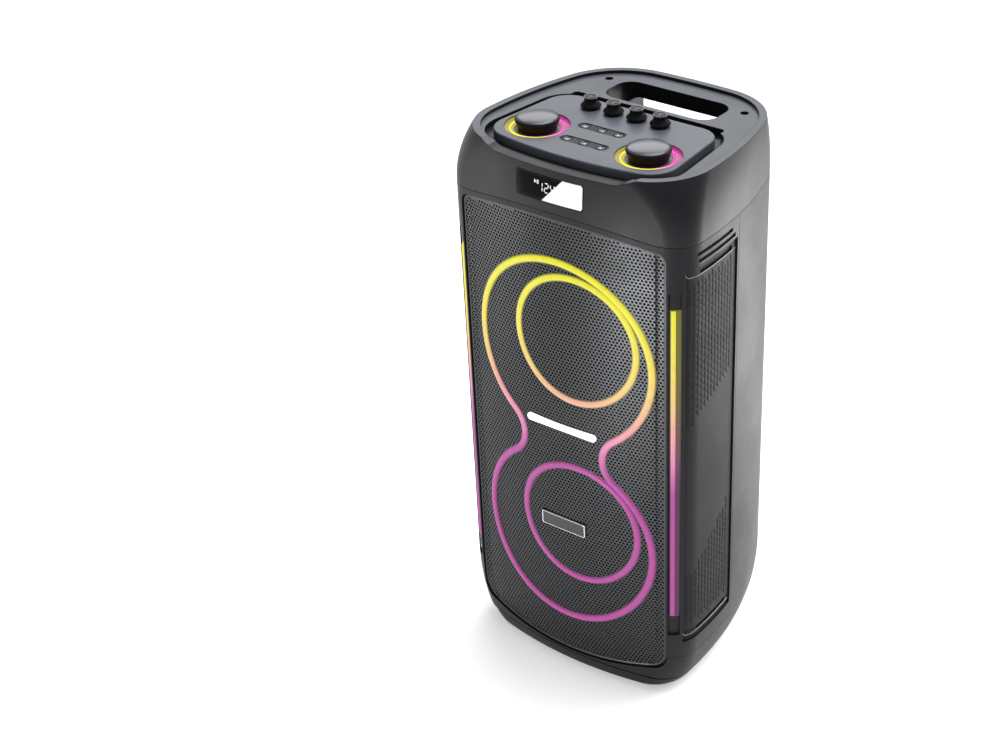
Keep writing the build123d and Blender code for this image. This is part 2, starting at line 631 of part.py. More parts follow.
def connector_plate():
    """Recessed plate that carries the sockets and the switch."""
    plate = on_back(0, PLATE_Z) * extrude(RectangleRounded(*PLATE_SIZE, 8), PLATE_Y[0] - PLATE_Y[1])
    for x, z in MIC_JACKS:
        plate -= on_back(x, z) * Cylinder(6.0, 20)
    plate -= on_back(*AUX_JACK) * Cylinder(4.0, 20)
    plate -= on_back(*INLET) * Box(24, 17, 20)
    plate -= on_back(*ROCKER) * Box(21.4, 15.4, 20)
    return plate


def jack_socket(x, z, bore, length, barrel, nut):
    """Panel jack: threaded barrel through the plate, nut outside, body inside."""
    lip = 3.0
    socket = Pos(0, 0, lip - length / 2 - 1.5) * Cylinder(barrel - 0.1, length + 3)
    socket += Pos(0, 0, -length / 2 - PLATE_Y[1] + PLATE_Y[0]) * Box(2 * nut, 2 * nut, length - 8)
    socket += Pos(0, 0, lip / 2) * extrude(RegularPolygon(nut, 6), lip / 2, both=True)
    socket -= Pos(0, 0, lip - length / 2 + 1) * Cylinder(bore, length + 2)
    return on_back(x, z) * socket


def power_inlet():
    """Two-pin inlet: oval cavity with two round pins."""
    shell = Pos(0, 0, -7) * Box(23.4, 16.4, 18) + Pos(0, 0, 1) * Box(28, 21, 2)
    shell -= extrude(Pos(0, 0, -13) * pill(20, 9.4), 20)
    for side in (-1, 1):
        shell += Pos(side * 4.3, 0, -8) * Cylinder(1.2, 12)
    return on_back(*INLET) * shell


def switch_housing():
    """Frame of the rocker switch, with the holes for its pivot."""
    frame = Pos(0, 0, -7) * Box(20.8, 14.8, 16) + Pos(0, 0, 1) * Box(25, 19, 2)
    frame -= Box(18.4, 12.4, 22)
    frame -= Rot(90, 0, 0) * Cylinder(PIVOT_R + PIVOT_CLEARANCE, 16.0)
    return on_back(*ROCKER) * frame


def switch_rocker():
    """Rocker, tipped to its off side; it turns about its middle."""
    profile = [(-8.2, 3.2), (0, 1.6), (8.2, 3.2), (7.4, -3.5), (-7.4, -3.5)]
    rocker = extrude(Plane.YZ * make_face(Polyline(*profile, close=True)), 5.9, both=True)
    rocker = fillet(rocker.edges().filter_by(Axis.X).group_by(Axis.Z)[-1], 0.8)
    rocker += Rot(0, 90, 0) * Cylinder(PIVOT_R, 14.4)
    return on_back(*ROCKER) * Rot(0, 0, 90) * Rot(ROCKER_TILT, 0, 0) * rocker


def amplifier_board():
    """Amplifier board with its finned heat sink."""
    half, near = AMPLIFIER_HALF, AMPLIFIER_Y
    board = block((-half[0], half[0]), (near, near + 1.6), (PLATE_Z - half[1], PLATE_Z + half[1]))
    board += block((-30, 30), (near - 12, near + 0.1), (PLATE_Z - 25, PLATE_Z - 21))
    for step in range(FINS):
        x = -28 + FIN_PITCH * step
        board += block((x, x + 2), (near - FIN_DEPTH, near + 0.1), (PLATE_Z - 30, PLATE_Z + 30))
    return board


def battery_pack():
    low = BASE_BOTTOM + FLOOR_SHEET
    pack = block((-BATTERY_HALF, BATTERY_HALF), BATTERY_Y, (low, low + BATTERY_HEIGHT))
    return fillet(pack.edges(), 3)


def bass_port():
    """Flared tube that opens through the back."""
    tube = Cylinder(PORT_R[1], PORT_LENGTH) - Cylinder(PORT_R[0], PORT_LENGTH + 2)
    place = Plane(origin=(0, BACK_Y - 1.5, PORT_Z), x_dir=(-1, 0, 0), z_dir=(0, 1, 0))
    return place * Pos(0, 0, -PORT_LENGTH / 2) * tube


def case_screws():
    """Screws: two in the deck and four round the connector plate."""
    screws = []
    for side in (-1, 1):
        screws.append(rod(SCREW_HEAD_R, DECK_Z - 8, DECK_Z - 5, side * CAP_SCREW[0], CAP_SCREW[1]))
        for z in (PLATE_Z - PLATE_SCREW[1], PLATE_Z + PLATE_SCREW[1]):
            head = Pos(0, 0, 1.1) * Cylinder(SCREW_HEAD_R, 2.2)
            screws.append(on_back(side * PLATE_SCREW[0], z) * head)
    return Compound(children=screws)


# ---------------------------------------------------------------- write the parts
def build():
    parts = {}
    middle = middle_form() - middle_form(WALL)
    foot_skin = foot_form() - foot_form(WALL)
    cap = cap_form()
    parts["front_frame"] = front_frame(middle, foot_skin, cap - cap_form(WALL))
    parts["rear_shell"] = rear_shell(middle, foot_skin)
    parts["top_cap"] = top_cap(cap, cap_form(WALL))
    parts["control_panel"] = control_panel()
    parts["base_moulding"] = base_moulding()
    parts["foot_plinth"] = foot_plinth()
    parts["front_grille"] = front_grille()
    parts["baffle_board"] = baffle_board()
    parts["loop_light"] = loop_light()
    parts["strobe_light"] = strobe_light()
    parts["badge_plate"] = badge_plate()
    parts["display_window"] = display_window(cap)
    parts["control_board"] = control_board()
    for side, hand in ((-1, "left"), (1, "right")):
        parts[f"side_insert_{hand}"] = side_insert(side)
        parts[f"light_bar_{hand}"] = light_bar(side)
        parts[f"large_knob_{hand}"] = large_knob(side * KNOB_X)
        parts[f"knob_light_{hand}"] = knob_light(side * KNOB_X)
        parts[f"encoder_{hand}"] = control_pot(side * KNOB_X, KNOB_Y, 7.0, WELL_FLOOR - 4)
        parts[f"foot_front_{hand}"] = foot(side * FOOT_X, FOOT_Y[0])
        parts[f"foot_rear_{hand}"] = foot(side * FOOT_X * 0.8, FOOT_Y[1])
    for index, x in enumerate(SMALL_X, 1):
        parts[f"small_knob_{index}"] = small_knob(x)
        parts[f"small_pot_{index}"] = control_pot(x, SMALL_Y, 5.5, WELL_FLOOR - 4)
    for index, (x, y) in enumerate(button_places(), 1):
        parts[f"push_button_{index}"] = push_button(x, y)
    for z, level in zip(WOOFER_Z, ("lower", "upper")):
        parts[f"ring_light_{level}"] = ring_light(z)
        parts[f"woofer_basket_{level}"] = woofer_place(z) * woofer_basket()
        parts[f"woofer_cone_{level}"] = woofer_place(z) * woofer_cone()
        parts[f"woofer_surround_{level}"] = woofer_place(z) * woofer_surround()
    parts["connector_plate"] = connector_plate()
    for index, (x, z) in enumerate(MIC_JACKS, 1):
        parts[f"mic_jack_{index}"] = jack_socket(x, z, JACK_BORE_R, JACK_LENGTH, 6.0, 8.5)
    parts["aux_jack"] = jack_socket(*AUX_JACK, AUX_BORE_R, AUX_LENGTH, 4.0, 5.5)
    parts["power_inlet"] = power_inlet()
    parts["switch_housing"] = switch_housing()
    parts["switch_rocker"] = switch_rocker()
    parts["amplifier_board"] = amplifier_board()
    parts["battery_pack"] = battery_pack()
    parts["bass_port"] = bass_port()
    parts["case_screws"] = case_screws()
    return parts


os.makedirs("parts", exist_ok=True)
for node, shape in build().items():
    export_step(shape, f"parts/{node}.step")
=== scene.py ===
"""Looks of the party speaker: grille, lights, display, knobs and materials round the CAD frame."""
import json
import math

import bmesh
import bpy
from mathutils import Matrix, Vector


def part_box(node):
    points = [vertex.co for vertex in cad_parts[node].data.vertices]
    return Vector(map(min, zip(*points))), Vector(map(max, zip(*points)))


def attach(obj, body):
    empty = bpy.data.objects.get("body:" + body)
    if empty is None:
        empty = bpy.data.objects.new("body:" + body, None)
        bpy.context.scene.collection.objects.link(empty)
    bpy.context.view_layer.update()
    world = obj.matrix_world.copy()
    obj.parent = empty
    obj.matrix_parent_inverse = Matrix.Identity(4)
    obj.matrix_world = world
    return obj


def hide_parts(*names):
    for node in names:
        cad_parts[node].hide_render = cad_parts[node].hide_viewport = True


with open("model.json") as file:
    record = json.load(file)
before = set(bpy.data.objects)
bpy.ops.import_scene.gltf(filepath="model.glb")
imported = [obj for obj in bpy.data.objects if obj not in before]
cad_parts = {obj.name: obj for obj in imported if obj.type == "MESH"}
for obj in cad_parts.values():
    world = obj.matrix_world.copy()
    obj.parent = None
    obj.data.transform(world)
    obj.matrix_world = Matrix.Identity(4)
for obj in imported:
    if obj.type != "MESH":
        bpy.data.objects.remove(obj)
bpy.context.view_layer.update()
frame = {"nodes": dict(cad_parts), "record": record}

nodes = frame["nodes"]

# -------------------- forms shared with the CAD, metres
FRONT_BOW = 0.500         # radius of the bowed front
SIDE_BOW = 0.500          # radius of the bowed sides
SIDE_CREST_Y = -0.080     # where the sides are widest
CORNER_R = 0.037          # front corner radius
CAP_Z = 0.616             # seam under the cap
RIM_Z = 0.685             # top of the rim
RIM_FRONT = 0.005         # the cap's front leans in this far at the rim
ROUND_Z = 0.104           # the base rounds in below this height
FLOOR_SIDE = 0.032        # how far the foot lies inside the plan at the sides
FLOOR_FRONT = 0.011       # and at the front
FLOOR_CORNER = 0.050      # front corner radius at the floor
GRILLE_DEPTH = 0.003      # the grille lies this far behind the frame's face
GRILLE_FACE = GRILLE_DEPTH + 0.0001  # face of the perforated sheet, where the lights and plates sit
INSERT_DEPTH = 0.0025     # the side panels lie this far inside the sides

frame_low, frame_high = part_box("front_frame")
FRONT_Y = frame_low.y
HALF_WIDTH = frame_high.x
SIDES = ((-1, "left"), (1, "right"))

# -------------------- colours, linear
BODY = (0.0105, 0.0108, 0.0125)
CAP = (0.0115, 0.0118, 0.0135)
INSERT = (0.0065, 0.0066, 0.0080)
# paler colour painted on the upward faces of the deck and the rim: a painted sheen of the overhead light
PANEL = (0.092, 0.100, 0.120)
DECK_SHEEN_COLOUR = (0.098, 0.105, 0.122)
SHEEN_LEVEL = 0.6800       # painted sheen on upward faces above this height, the deck and the rim; the gutter lies under it
METAL = (0.031, 0.032, 0.034)
BLACK = (0.006, 0.006, 0.007)
# colour of the loops and bars against height in metres, from the bottom up
GLOW = (
    (0.090, (0.41, 0.040, 0.28)),
    (0.300, (0.42, 0.045, 0.30)),
    (0.324, (0.60, 0.13, 0.38)),
    (0.345, (0.78, 0.25, 0.47)),
    (0.365, (0.84, 0.32, 0.39)),
    (0.395, (0.85, 0.44, 0.29)),
    (0.425, (0.86, 0.60, 0.18)),
    (0.460, (0.86, 0.69, 0.09)),
    (0.510, (0.83, 0.77, 0.035)),
    (0.560, (0.80, 0.76, 0.015)),
)
# colour of the knob rings and of their painted halos on the well floor, from the left front to the right rear
KNOB_GLOW = ((0.0, (0.90, 0.80, 0.02)), (0.62, (0.95, 0.55, 0.12)), (0.74, (0.95, 0.2, 0.45)),
             (1.0, (0.80, 0.06, 0.42)))
KNOB_HALO_GLOW = ((0.0, (0.30, 0.25, 0.01)), (0.6, (0.30, 0.16, 0.03)), (0.76, (0.32, 0.02, 0.15)),
                 (1.0, (0.34, 0.015, 0.17)))


# -------------------- mesh helpers
def make_object(name, shape, slot, material=None, body="cabinet", replaces=(), smooth=40.0):
    """Piece from (vertices, faces) in metres, riding on a body; normals are smooth below an angle."""
    verts, faces = shape
    mesh = bpy.data.meshes.new(name)
    mesh.from_pydata(verts, [], faces)
    work = bmesh.new()
    work.from_mesh(mesh)
    bmesh.ops.recalc_face_normals(work, faces=work.faces)
    work.to_mesh(mesh)
    work.free()
    mesh.shade_smooth()
    mesh.set_sharp_from_angle(angle=math.radians(smooth))
    mesh.materials.append(material or MATERIALS[slot])
    piece = bpy.data.objects.new(name, mesh)
    bpy.context.scene.collection.objects.link(piece)
    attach(piece, body)
    if replaces:
        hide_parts(*replaces)


def grid_faces(rows, columns, close_rows=False, close_columns=False, start=0):
    """Quads of a grid of vertices stored row by row, the first of them at start."""
    faces = []
    for i in range(rows if close_rows else rows - 1):
        for j in range(columns if close_columns else columns - 1):
            row, next_row = start + i * columns, start + ((i + 1) % rows) * columns
            k = (j + 1) % columns
            faces.append((row + j, row + k, next_row + k, next_row + j))
    return faces


def add_solid(verts, faces, loops):
    """Adds a closed solid through a stack of loops, each with the same number of points."""
    start, count = len(verts), len(loops[0])
    for loop in loops:
        verts += loop
    faces += grid_faces(len(loops), count, close_columns=True, start=start)
    faces.append([start + count - 1 - k for k in range(count)])
    faces.append([len(verts) - count + k for k in range(count)])
    return verts, faces


def turned_loop(centre, radius, height, steps, ribs=(0, 0.0)):
    """Points round a vertical axis, with a number of ribs of a relative depth."""
    loop = []
    for k in range(steps):
        turn = 2 * math.pi * k / steps
        r = radius * (1 + ribs[1] * math.cos(ribs[0] * turn))
        loop.append((centre[0] + r * math.cos(turn), centre[1] + r * math.sin(turn), height))
    return loop


def lathe(profile, centre, steps=96):
    """Closed solid turned about a vertical axis from (radius, height) points."""
    return add_solid([], [], [turned_loop(centre, radius, height, steps) for radius, height in profile])


def turned_ring(profile, centre, steps=128):
    """Closed ring turned about a vertical axis from (radius, height) points."""
    verts = [point for radius, height in profile for point in turned_loop(centre, radius, height, steps)]
    return verts, grid_faces(len(profile), steps, close_rows=True, close_columns=True)


def round_part(name):
    """Centre, radius and top of an upright round node."""
    low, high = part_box(name)
    return ((low.x + high.x) / 2, (low.y + high.y) / 2), (high.x - low.x) / 2, high.z


def foot_share(z):
    """Share of the way from the straight body to the foot's outline at a height."""
    below = max(ROUND_Z - z, 0.0) / ROUND_Z
    return 1 - math.sqrt(1 - below * below)


def corner_centre(z):
    """Centre and radius of the front corner's arc, tangent inside to the front's and the side's circles."""
    share = foot_share(z)
    radius = CORNER_R + share * (FLOOR_CORNER - CORNER_R)
    front_centre = FRONT_Y + share * FLOOR_FRONT + FRONT_BOW
    dx, dy = HALF_WIDTH - share * FLOOR_SIDE - SIDE_BOW, SIDE_CREST_Y - front_centre
    front_reach, side_reach = FRONT_BOW - radius, SIDE_BOW - radius
    gap = math.hypot(dx, dy)
    along = (front_reach ** 2 - side_reach ** 2 + gap * gap) / (2 * gap)
    off = math.sqrt(front_reach ** 2 - along * along)
    return (along * dx - off * dy) / gap, front_centre + (along * dy + off * dx) / gap, radius


CORNER = corner_centre(ROUND_Z)


def front_y(x, depth, z=ROUND_Z):
    """Y of the front and its corners at a depth inside the plan; the foot rounds in."""
    radius = FRONT_BOW - depth
    y = FRONT_Y + foot_share(z) * FLOOR_FRONT + FRONT_BOW - math.sqrt(radius * radius - x * x)
    cx, cy, corner = corner_centre(z) if z < ROUND_Z else CORNER
    over = abs(x) - cx
    if over > 0:
        reach = (corner - depth) ** 2 - over * over
        y = max(y, cy - math.sqrt(max(reach, 0.0)))
    return y


def side_x(y, depth, z=ROUND_Z):
    """X of the right side at a depth inside the plan, round the front corner as well."""
    radius = SIDE_BOW - depth
    bow_centre = HALF_WIDTH - foot_share(z) * FLOOR_SIDE - SIDE_BOW
    x = bow_centre + math.sqrt(radius * radius - (y - SIDE_CREST_Y) ** 2)
    cx, cy, corner = corner_centre(z) if z < ROUND_Z else CORNER
    if y < cy:
        reach = (corner - depth) ** 2 - (y - cy) ** 2
        x = min(x, cx + math.sqrt(max(reach, 0.0)))
    return x


def cap_front_y(x, z):
    """Y of the cap's bowed front, which leans in towards the rim."""
    lean = ((z - CAP_Z) / (RIM_Z - CAP_Z)) ** 2
    return FRONT_Y + lean * RIM_FRONT + FRONT_BOW - math.sqrt(FRONT_BOW ** 2 - x * x)


# -------------------- material helpers
def new_material(name, **settings):
    """Node material with its tree and shader; settings are the shader's values, with _ for a space."""
    material = bpy.data.materials.new(name)
    material.use_nodes = True
    tree = material.node_tree
    shader = tree.nodes["Principled BSDF"]
    for key, value in settings.items():
        shader.inputs[key.replace("_", " ")].default_value = value
    return material, tree, shader


def node(tree, kind, **values):
    """New node whose inputs or attributes have the given values."""
    item = tree.nodes.new(kind)
    for key, value in values.items():
        if key in item.inputs:
            item.inputs[key].default_value = value
        else:
            setattr(item, key, value)
    return item


def object_coords(tree):
    return tree.nodes.new("ShaderNodeTexCoord").outputs["Object"]


def geometry(tree, output):
    return tree.nodes.new("ShaderNodeNewGeometry").outputs[output]


def noise(tree, **values):
    """Noise in the piece's own coordinates."""
    item = node(tree, "ShaderNodeTexNoise", **values)
    tree.links.new(object_coords(tree), item.inputs["Vector"])
    return item.outputs["Fac"]


def remap(tree, value, span, result=(0.0, 1.0), **kind):
    """A value moved from one span to another, and held inside it."""
    item = node(tree, "ShaderNodeMapRange", **kind)
    for key, number in zip(("From Min", "From Max", "To Min", "To Max"), (*span, *result)):
        item.inputs[key].default_value = number
    tree.links.new(value, item.inputs["Value"])
    return item.outputs["Result"]


def blend(tree, share, first, second):
    """Mix of two colours by a share; each colour is a value or a node's output."""
    item = node(tree, "ShaderNodeMixRGB")
    tree.links.new(share, item.inputs["Fac"])
    for key, colour in (("Color1", first), ("Color2", second)):
        if isinstance(colour, bpy.types.NodeSocket):
            tree.links.new(colour, item.inputs[key])
        else:
            item.inputs[key].default_value = (*colour, 1)
    return item.outputs["Color"]


def mottled(tree, colour, change, **values):
    """A colour that wanders darker and lighter by a share of itself."""
    dark, light = ([(1 + sign * change) * c for c in colour] for sign in (-1, 1))
    return blend(tree, noise(tree, **values), dark, light)


def height_of(tree, vector):
    """Z of a vector."""
    item = node(tree, "ShaderNodeSeparateXYZ")
    tree.links.new(vector, item.inputs["Vector"])
    return item.outputs["Z"]


def add_grain(tree, shader, scale, strength, edge=0.0):
    """Fine moulded grain as bump, over edges that are rounded in the shading."""
    bump = node(tree, "ShaderNodeBump", Strength=strength, Distance=0.0004)
    tree.links.new(noise(tree, Scale=scale, Detail=3.0), bump.inputs["Height"])
    tree.links.new(bump.outputs["Normal"], shader.inputs["Normal"])
    if edge:
        rounded = node(tree, "ShaderNodeBevel", samples=4, Radius=edge)
        tree.links.new(rounded.outputs["Normal"], bump.inputs["Normal"])


def vary_roughness(tree, shader, low, high, scale=14.0):
    """Handling marks and moulding flow: slow changes of gloss."""
    marks = noise(tree, Scale=scale, Detail=6.0, Roughness=0.62)
    tree.links.new(remap(tree, marks, (0.3, 0.7), (low, high)), shader.inputs["Roughness"])


def edge_tint(tree, shader, colour, highlight_colour, amount):
    """Painted edge highlight, a paler colour on convex edges, and a slight mottle elsewhere."""
    edge = remap(tree, geometry(tree, "Pointiness"), (0.515, 0.60), (0.0, amount))
    base = mottled(tree, colour, 0.10, Scale=30.0, Detail=5.0)
    tree.links.new(blend(tree, edge, base, highlight_colour), shader.inputs["Base Color"])


def plastic(name, colour, rough, grain=900.0, bump=0.25, metallic=0.0, specular=0.5, coat=0.0, edge=0.0,
            edge_highlight=0.5):
    """Moulded plastic: mottled colour, a painted highlight on convex edges, grain and uneven gloss."""
    material, tree, shader = new_material(name, Metallic=metallic, Specular_IOR_Level=specular,
                                          Coat_Weight=coat, Coat_Roughness=0.12)
    edge_tint(tree, shader, colour, [min(1.0, 1.9 * c + 0.02) for c in colour], edge_highlight)
    add_grain(tree, shader, grain, bump, edge)
    vary_roughness(tree, shader, rough - 0.05, rough + 0.05)
    return material


def metal(name, colour, rough):
    """Bare or plated metal with fine scratches."""
    material, tree, shader = new_material(name, Metallic=1.0)
    # paler convex edges: a painted edge highlight
    edge_tint(tree, shader, colour, [min(1.0, 1.3 * c + 0.05) for c in colour], 0.4)
    add_grain(tree, shader, 700.0, 0.2)
    vary_roughness(tree, shader, rough - 0.06, rough + 0.08, 40.0)
    return material


def paint_top_sheen(material, colour, level):
    """Painted sheen: a paler colour on the faces that look upward above a level, where the overhead light
    falls.
    """
    tree = material.node_tree
    finish = tree.nodes["Principled BSDF"].inputs["Base Color"]
    tilt = height_of(tree, geometry(tree, "Normal"))
    upward = remap(tree, tilt, (0.55, 0.95), interpolation_type="SMOOTHSTEP")
    above = remap(tree, height_of(tree, object_coords(tree)), (level - 0.0005, level + 0.0005))
    both = node(tree, "ShaderNodeMath", operation="MULTIPLY")
    tree.links.new(upward, both.inputs[0])
    tree.links.new(above, both.inputs[1])
    pale = mottled(tree, colour, 0.15, Scale=9.0, Detail=4.0)
    dark = finish.links[0].from_socket
    tree.links.new(blend(tree, both.outputs["Value"], dark, pale), finish)


def ramp_colours(ramp, stops):
    """Sets a colour ramp's stops from (position, colour) pairs."""
    ramp.elements.remove(ramp.elements[1])
    ramp.elements[0].position = stops[0][0]
    ramp.elements[0].color = (*stops[0][1], 1)
    for position, colour in stops[1:]:
        ramp.elements.new(position).color = (*colour, 1)


def glow(name, stops, span, direction=(0, 0, 1), origin=(0, 0, 0), strength=1.0):
    """Lit diffuser whose colour changes along a direction."""
    material, tree, shader = new_material(name, Base_Color=(0.03, 0.03, 0.03, 1), Roughness=0.35,
                                          Specular_IOR_Level=0.2)
    shift = node(tree, "ShaderNodeVectorMath", operation="SUBTRACT")
    shift.inputs[1].default_value = origin
    along = node(tree, "ShaderNodeVectorMath", operation="DOT_PRODUCT")
    along.inputs[1].default_value = direction
    ramp = node(tree, "ShaderNodeValToRGB")
    ramp_colours(ramp.color_ramp, stops)
    tree.links.new(object_coords(tree), shift.inputs[0])
    tree.links.new(shift.outputs["Vector"], along.inputs[0])
    tree.links.new(remap(tree, along.outputs["Value"], span), ramp.inputs["Fac"])
    tree.links.new(ramp.outputs["Color"], shader.inputs["Emission Color"])
    streaks = noise(tree, Scale=160.0, Detail=2.0)
    uneven = remap(tree, streaks, (0.0, 1.0), (0.86 * strength, 1.14 * strength))
    tree.links.new(uneven, shader.inputs["Emission Strength"])
    return material


def height_glow(name, strength=1.0):
    """The magenta to yellow glow of the loops and bars, by height."""
    low, high = GLOW[0][0], GLOW[-1][0]
    stops = [((z - low) / (high - low), colour) for z, colour in GLOW]
    return glow(name, stops, (low, high), strength=strength)


def white_glow(name, first, last, span, strength):
    """Nearly white light that changes a little with height."""
    return glow(name, [(0.0, first), (1.0, last)], span, strength=strength)


# a last setting of 0 turns off the painted highlight on convex edges, for the large CAD pieces
PLASTICS = {
    "body_plastic": dict(colour=BODY, rough=0.42, bump=0.30, specular=0.15, edge=0.0012, edge_highlight=0.0),
    "cap_plastic": dict(colour=CAP, rough=0.40, bump=0.22, specular=0.17, edge=0.0014, edge_highlight=0.0),
    "insert_plastic": dict(colour=INSERT, rough=0.55, bump=0.35, specular=0.09),
    # paler grey than the panels: a painted highlight on the lips under their slots
    "trim_highlight": dict(colour=(0.16, 0.16, 0.17), rough=0.22, bump=0.05, specular=0.6),
    "panel_plastic": dict(colour=PANEL, rough=0.42, bump=0.12, specular=0.3, edge=0.0008, edge_highlight=0.0),
    "grille_metal": dict(colour=METAL, rough=0.36, grain=1500.0, bump=0.10, metallic=0.75),
    "board_wood": dict(colour=(0.008, 0.008, 0.008), rough=0.8, grain=300.0),
    "display_glass": dict(colour=(0.001, 0.001, 0.001), rough=0.16, bump=0.0, specular=0.05),
    "badge_metal": dict(colour=(0.012, 0.012, 0.012), rough=0.3, bump=0.1),
    "knob_satin": dict(colour=(0.045, 0.048, 0.060), rough=0.30, bump=0.10, coat=0.2),
    "knob_black": dict(colour=BLACK, rough=0.32, bump=0.15, specular=0.13),
    "button_plastic": dict(colour=(0.022, 0.023, 0.027), rough=0.30, bump=0.1),
    "rubber_black": dict(colour=(0.012, 0.012, 0.012), rough=0.75, grain=500.0, bump=0.5),
    "cone_paper": dict(colour=(0.010, 0.010, 0.011), rough=0.8, grain=260.0, bump=0.7),
    "frame_steel": dict(colour=(0.012, 0.012, 0.013), rough=0.5, metallic=0.3),
    "plate_black": dict(colour=(0.018, 0.018, 0.019), rough=0.45, bump=0.3),
    "socket_black": dict(colour=(0.010, 0.010, 0.011), rough=0.35),
    "circuit_board": dict(colour=(0.01, 0.06, 0.03), rough=0.35),
    "battery_case": dict(colour=(0.02, 0.03, 0.12), rough=0.35),
}
MATERIALS = {name: plastic(name, **look) for name, look in PLASTICS.items()}
MATERIALS |= {
    "light_diffuser": height_glow("light_diffuser"),
    "light_white": white_glow("light_white", (1.0, 1.0, 1.0), (0.95, 0.97, 1.0), (0.34, 0.36), 2.2),
    "socket_metal": metal("socket_metal", (0.62, 0.62, 0.63), 0.22),
    "screw_steel": metal("screw_steel", (0.10, 0.10, 0.105), 0.35),
}


def finish_cad_nodes():
    """Carried-over CAD nodes take the material of their slot; the deck round the handle gets a painted sheen,
    a paler colour on its upward faces.
    """
    paint_top_sheen(MATERIALS["cap_plastic"], DECK_SHEEN_COLOUR, SHEEN_LEVEL)
    slots = {row["node"]: row["material_slot"] for row in frame["record"]["subparts"]}
    for name, piece in nodes.items():
        piece.data.materials.clear()
        piece.data.materials.append(MATERIALS[slots[name]])


# -------------------- grille
HOLE_PITCH = 0.0046
HOLE_R = 0.00155
SHEET = 0.0012            # thickness of the sheet
HEM = 0.0030              # width of the folded edge, where there are no holes
SHEET_INSET = 0.0004      # the sheet ends this far inside the outline, under the hem
MERGE = 2e5               # vertices are told apart in steps of 1 / MERGE metres


class GrilleOutline:
    """Outline of the grille: straight sides, bowed edges and rounded corners."""

    def __init__(self):
        low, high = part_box("front_grille")
        self.half = high.x
        # height of the lower and the upper edge at the sides and in the middle, and their corner radii
        self.bottom = (low.z + 0.020, low.z)
        self.top = (high.z - 0.015, high.z)
        self.corner_low = 0.0196
        self.corner_high = 0.0106

    def edge(self, x, ends, corner, sign):
        """Height of an edge at x."""
        rise = (x / self.half) ** 2
        z = ends[1] + (ends[0] - ends[1]) * rise
        over = abs(x) - (self.half - corner)
        if over > 0:
            z += sign * (corner - math.sqrt(max(corner * corner - over * over, 0.0)))
        return z

    def low(self, x):
        return self.edge(x, self.bottom, self.corner_low, 1)

    def high(self, x):
        return self.edge(x, self.top, self.corner_high, -1)

    def margin(self, x, z):
        """Rough distance inside the outline."""
        inside = max(-self.half, min(self.half, x))
        return min(self.half - abs(x), z - self.low(inside), self.high(inside) - z)

    def clamp(self, x, z, margin):
        """The nearest place that lies inside by a margin."""
        x = max(-self.half + margin, min(self.half - margin, x))
        return x, max(self.low(x) + margin, min(self.high(x) - margin, z))

    def points(self, inset):
        """Closed outline, pulled in by inset."""
        half, count, side_count = self.half, 80, 60
        xs = [half * math.sin(math.pi * (k / count - 0.5)) for k in range(count + 1)]
        tall = self.high(half) - self.low(half)
        side = [self.low(half) + tall * k / side_count for k in range(1, side_count)]
        loop = [(x, self.low(x)) for x in xs] + [(half, z) for z in side]
        loop += [(x, self.high(x)) for x in reversed(xs)] + [(-half, z) for z in reversed(side)]
        shrunk = []
        for k, (x, z) in enumerate(loop):
            rise, run = slope_at(loop, k)
            shrunk.append((x - inset * rise, z + inset * run))
        return shrunk


def slope_at(loop, k):
    """Rise and run for a unit of length of a closed loop of (x, z) points, at one of them."""
    (ax, az), (bx, bz) = loop[k - 1], loop[(k + 1) % len(loop)]
    size = math.hypot(bx - ax, bz - az) or 1.0
    return (bz - az) / size, (bx - ax) / size


OUTLINE = GrilleOutline()


def polygon(radius, sides):
    """Corners of a regular polygon, the first one straight up."""
    turns = [math.radians(360 / sides * k) for k in range(sides)]
    return [(radius * math.sin(turn), radius * math.cos(turn)) for turn in turns]


def perforated_grille():
    """Bowed sheet with staggered round holes in hexagonal cells; the cells under the hem are closed."""
    verts, faces, index = [], [], {}
    front, back = GRILLE_FACE, GRILLE_DEPTH + SHEET

    def vertex(x, z, depth):
        x, z = OUTLINE.clamp(x, z, SHEET_INSET)
        key = (round(x * MERGE), round(z * MERGE), depth)
        if key not in index:
            index[key] = len(verts)
            verts.append((x, front_y(x, depth, z), z))
        return index[key]

    def ring(x, z, depth, shape):
        return [vertex(x + dx, z + dz, depth) for dx, dz in shape]

    def band(first, second):
        for k in range(len(first)):
            n = (k + 1) % len(first)
            faces.append((first[k], first[n], second[n], second[k]))

    corners = polygon(HOLE_PITCH / math.sqrt(3), 6)
    edge = []
    for k, (ax, az) in enumerate(corners):
        bx, bz = corners[(k + 1) % 6]
        edge += [(ax, az), ((ax + bx) / 2, (az + bz) / 2)]
    hole = polygon(HOLE_R, len(edge))
    overhang = 0.001  # cells with their middle this far outside still reach in
    row_pitch = HOLE_PITCH * math.sqrt(3) / 2
    rows = int((OUTLINE.top[1] - OUTLINE.bottom[1]) / row_pitch) + 2
    columns = int(OUTLINE.half / HOLE_PITCH) + 2
    for row in range(rows):
        z = OUTLINE.bottom[1] + row * row_pitch
        shift = HOLE_PITCH / 2 if row % 2 else 0.0
        for column in range(-columns, columns + 1):
            x = column * HOLE_PITCH + shift
            margin = OUTLINE.margin(x, z)
            if margin < -overhang:
                continue
            punched = margin >= HEM + HOLE_R
            for depth in (front, back):
                rim = ring(x, z, depth, edge)
                if punched:
                    band(rim, ring(x, z, depth, hole))
                elif len(set(rim)) > 2:
                    faces.append(list(dict.fromkeys(rim)))
            if punched:
                band(ring(x, z, front, hole), ring(x, z, back, hole))
    make_object("grille_sheet", (verts, faces), "grille_metal", replaces=("front_grille",), smooth=30.0)


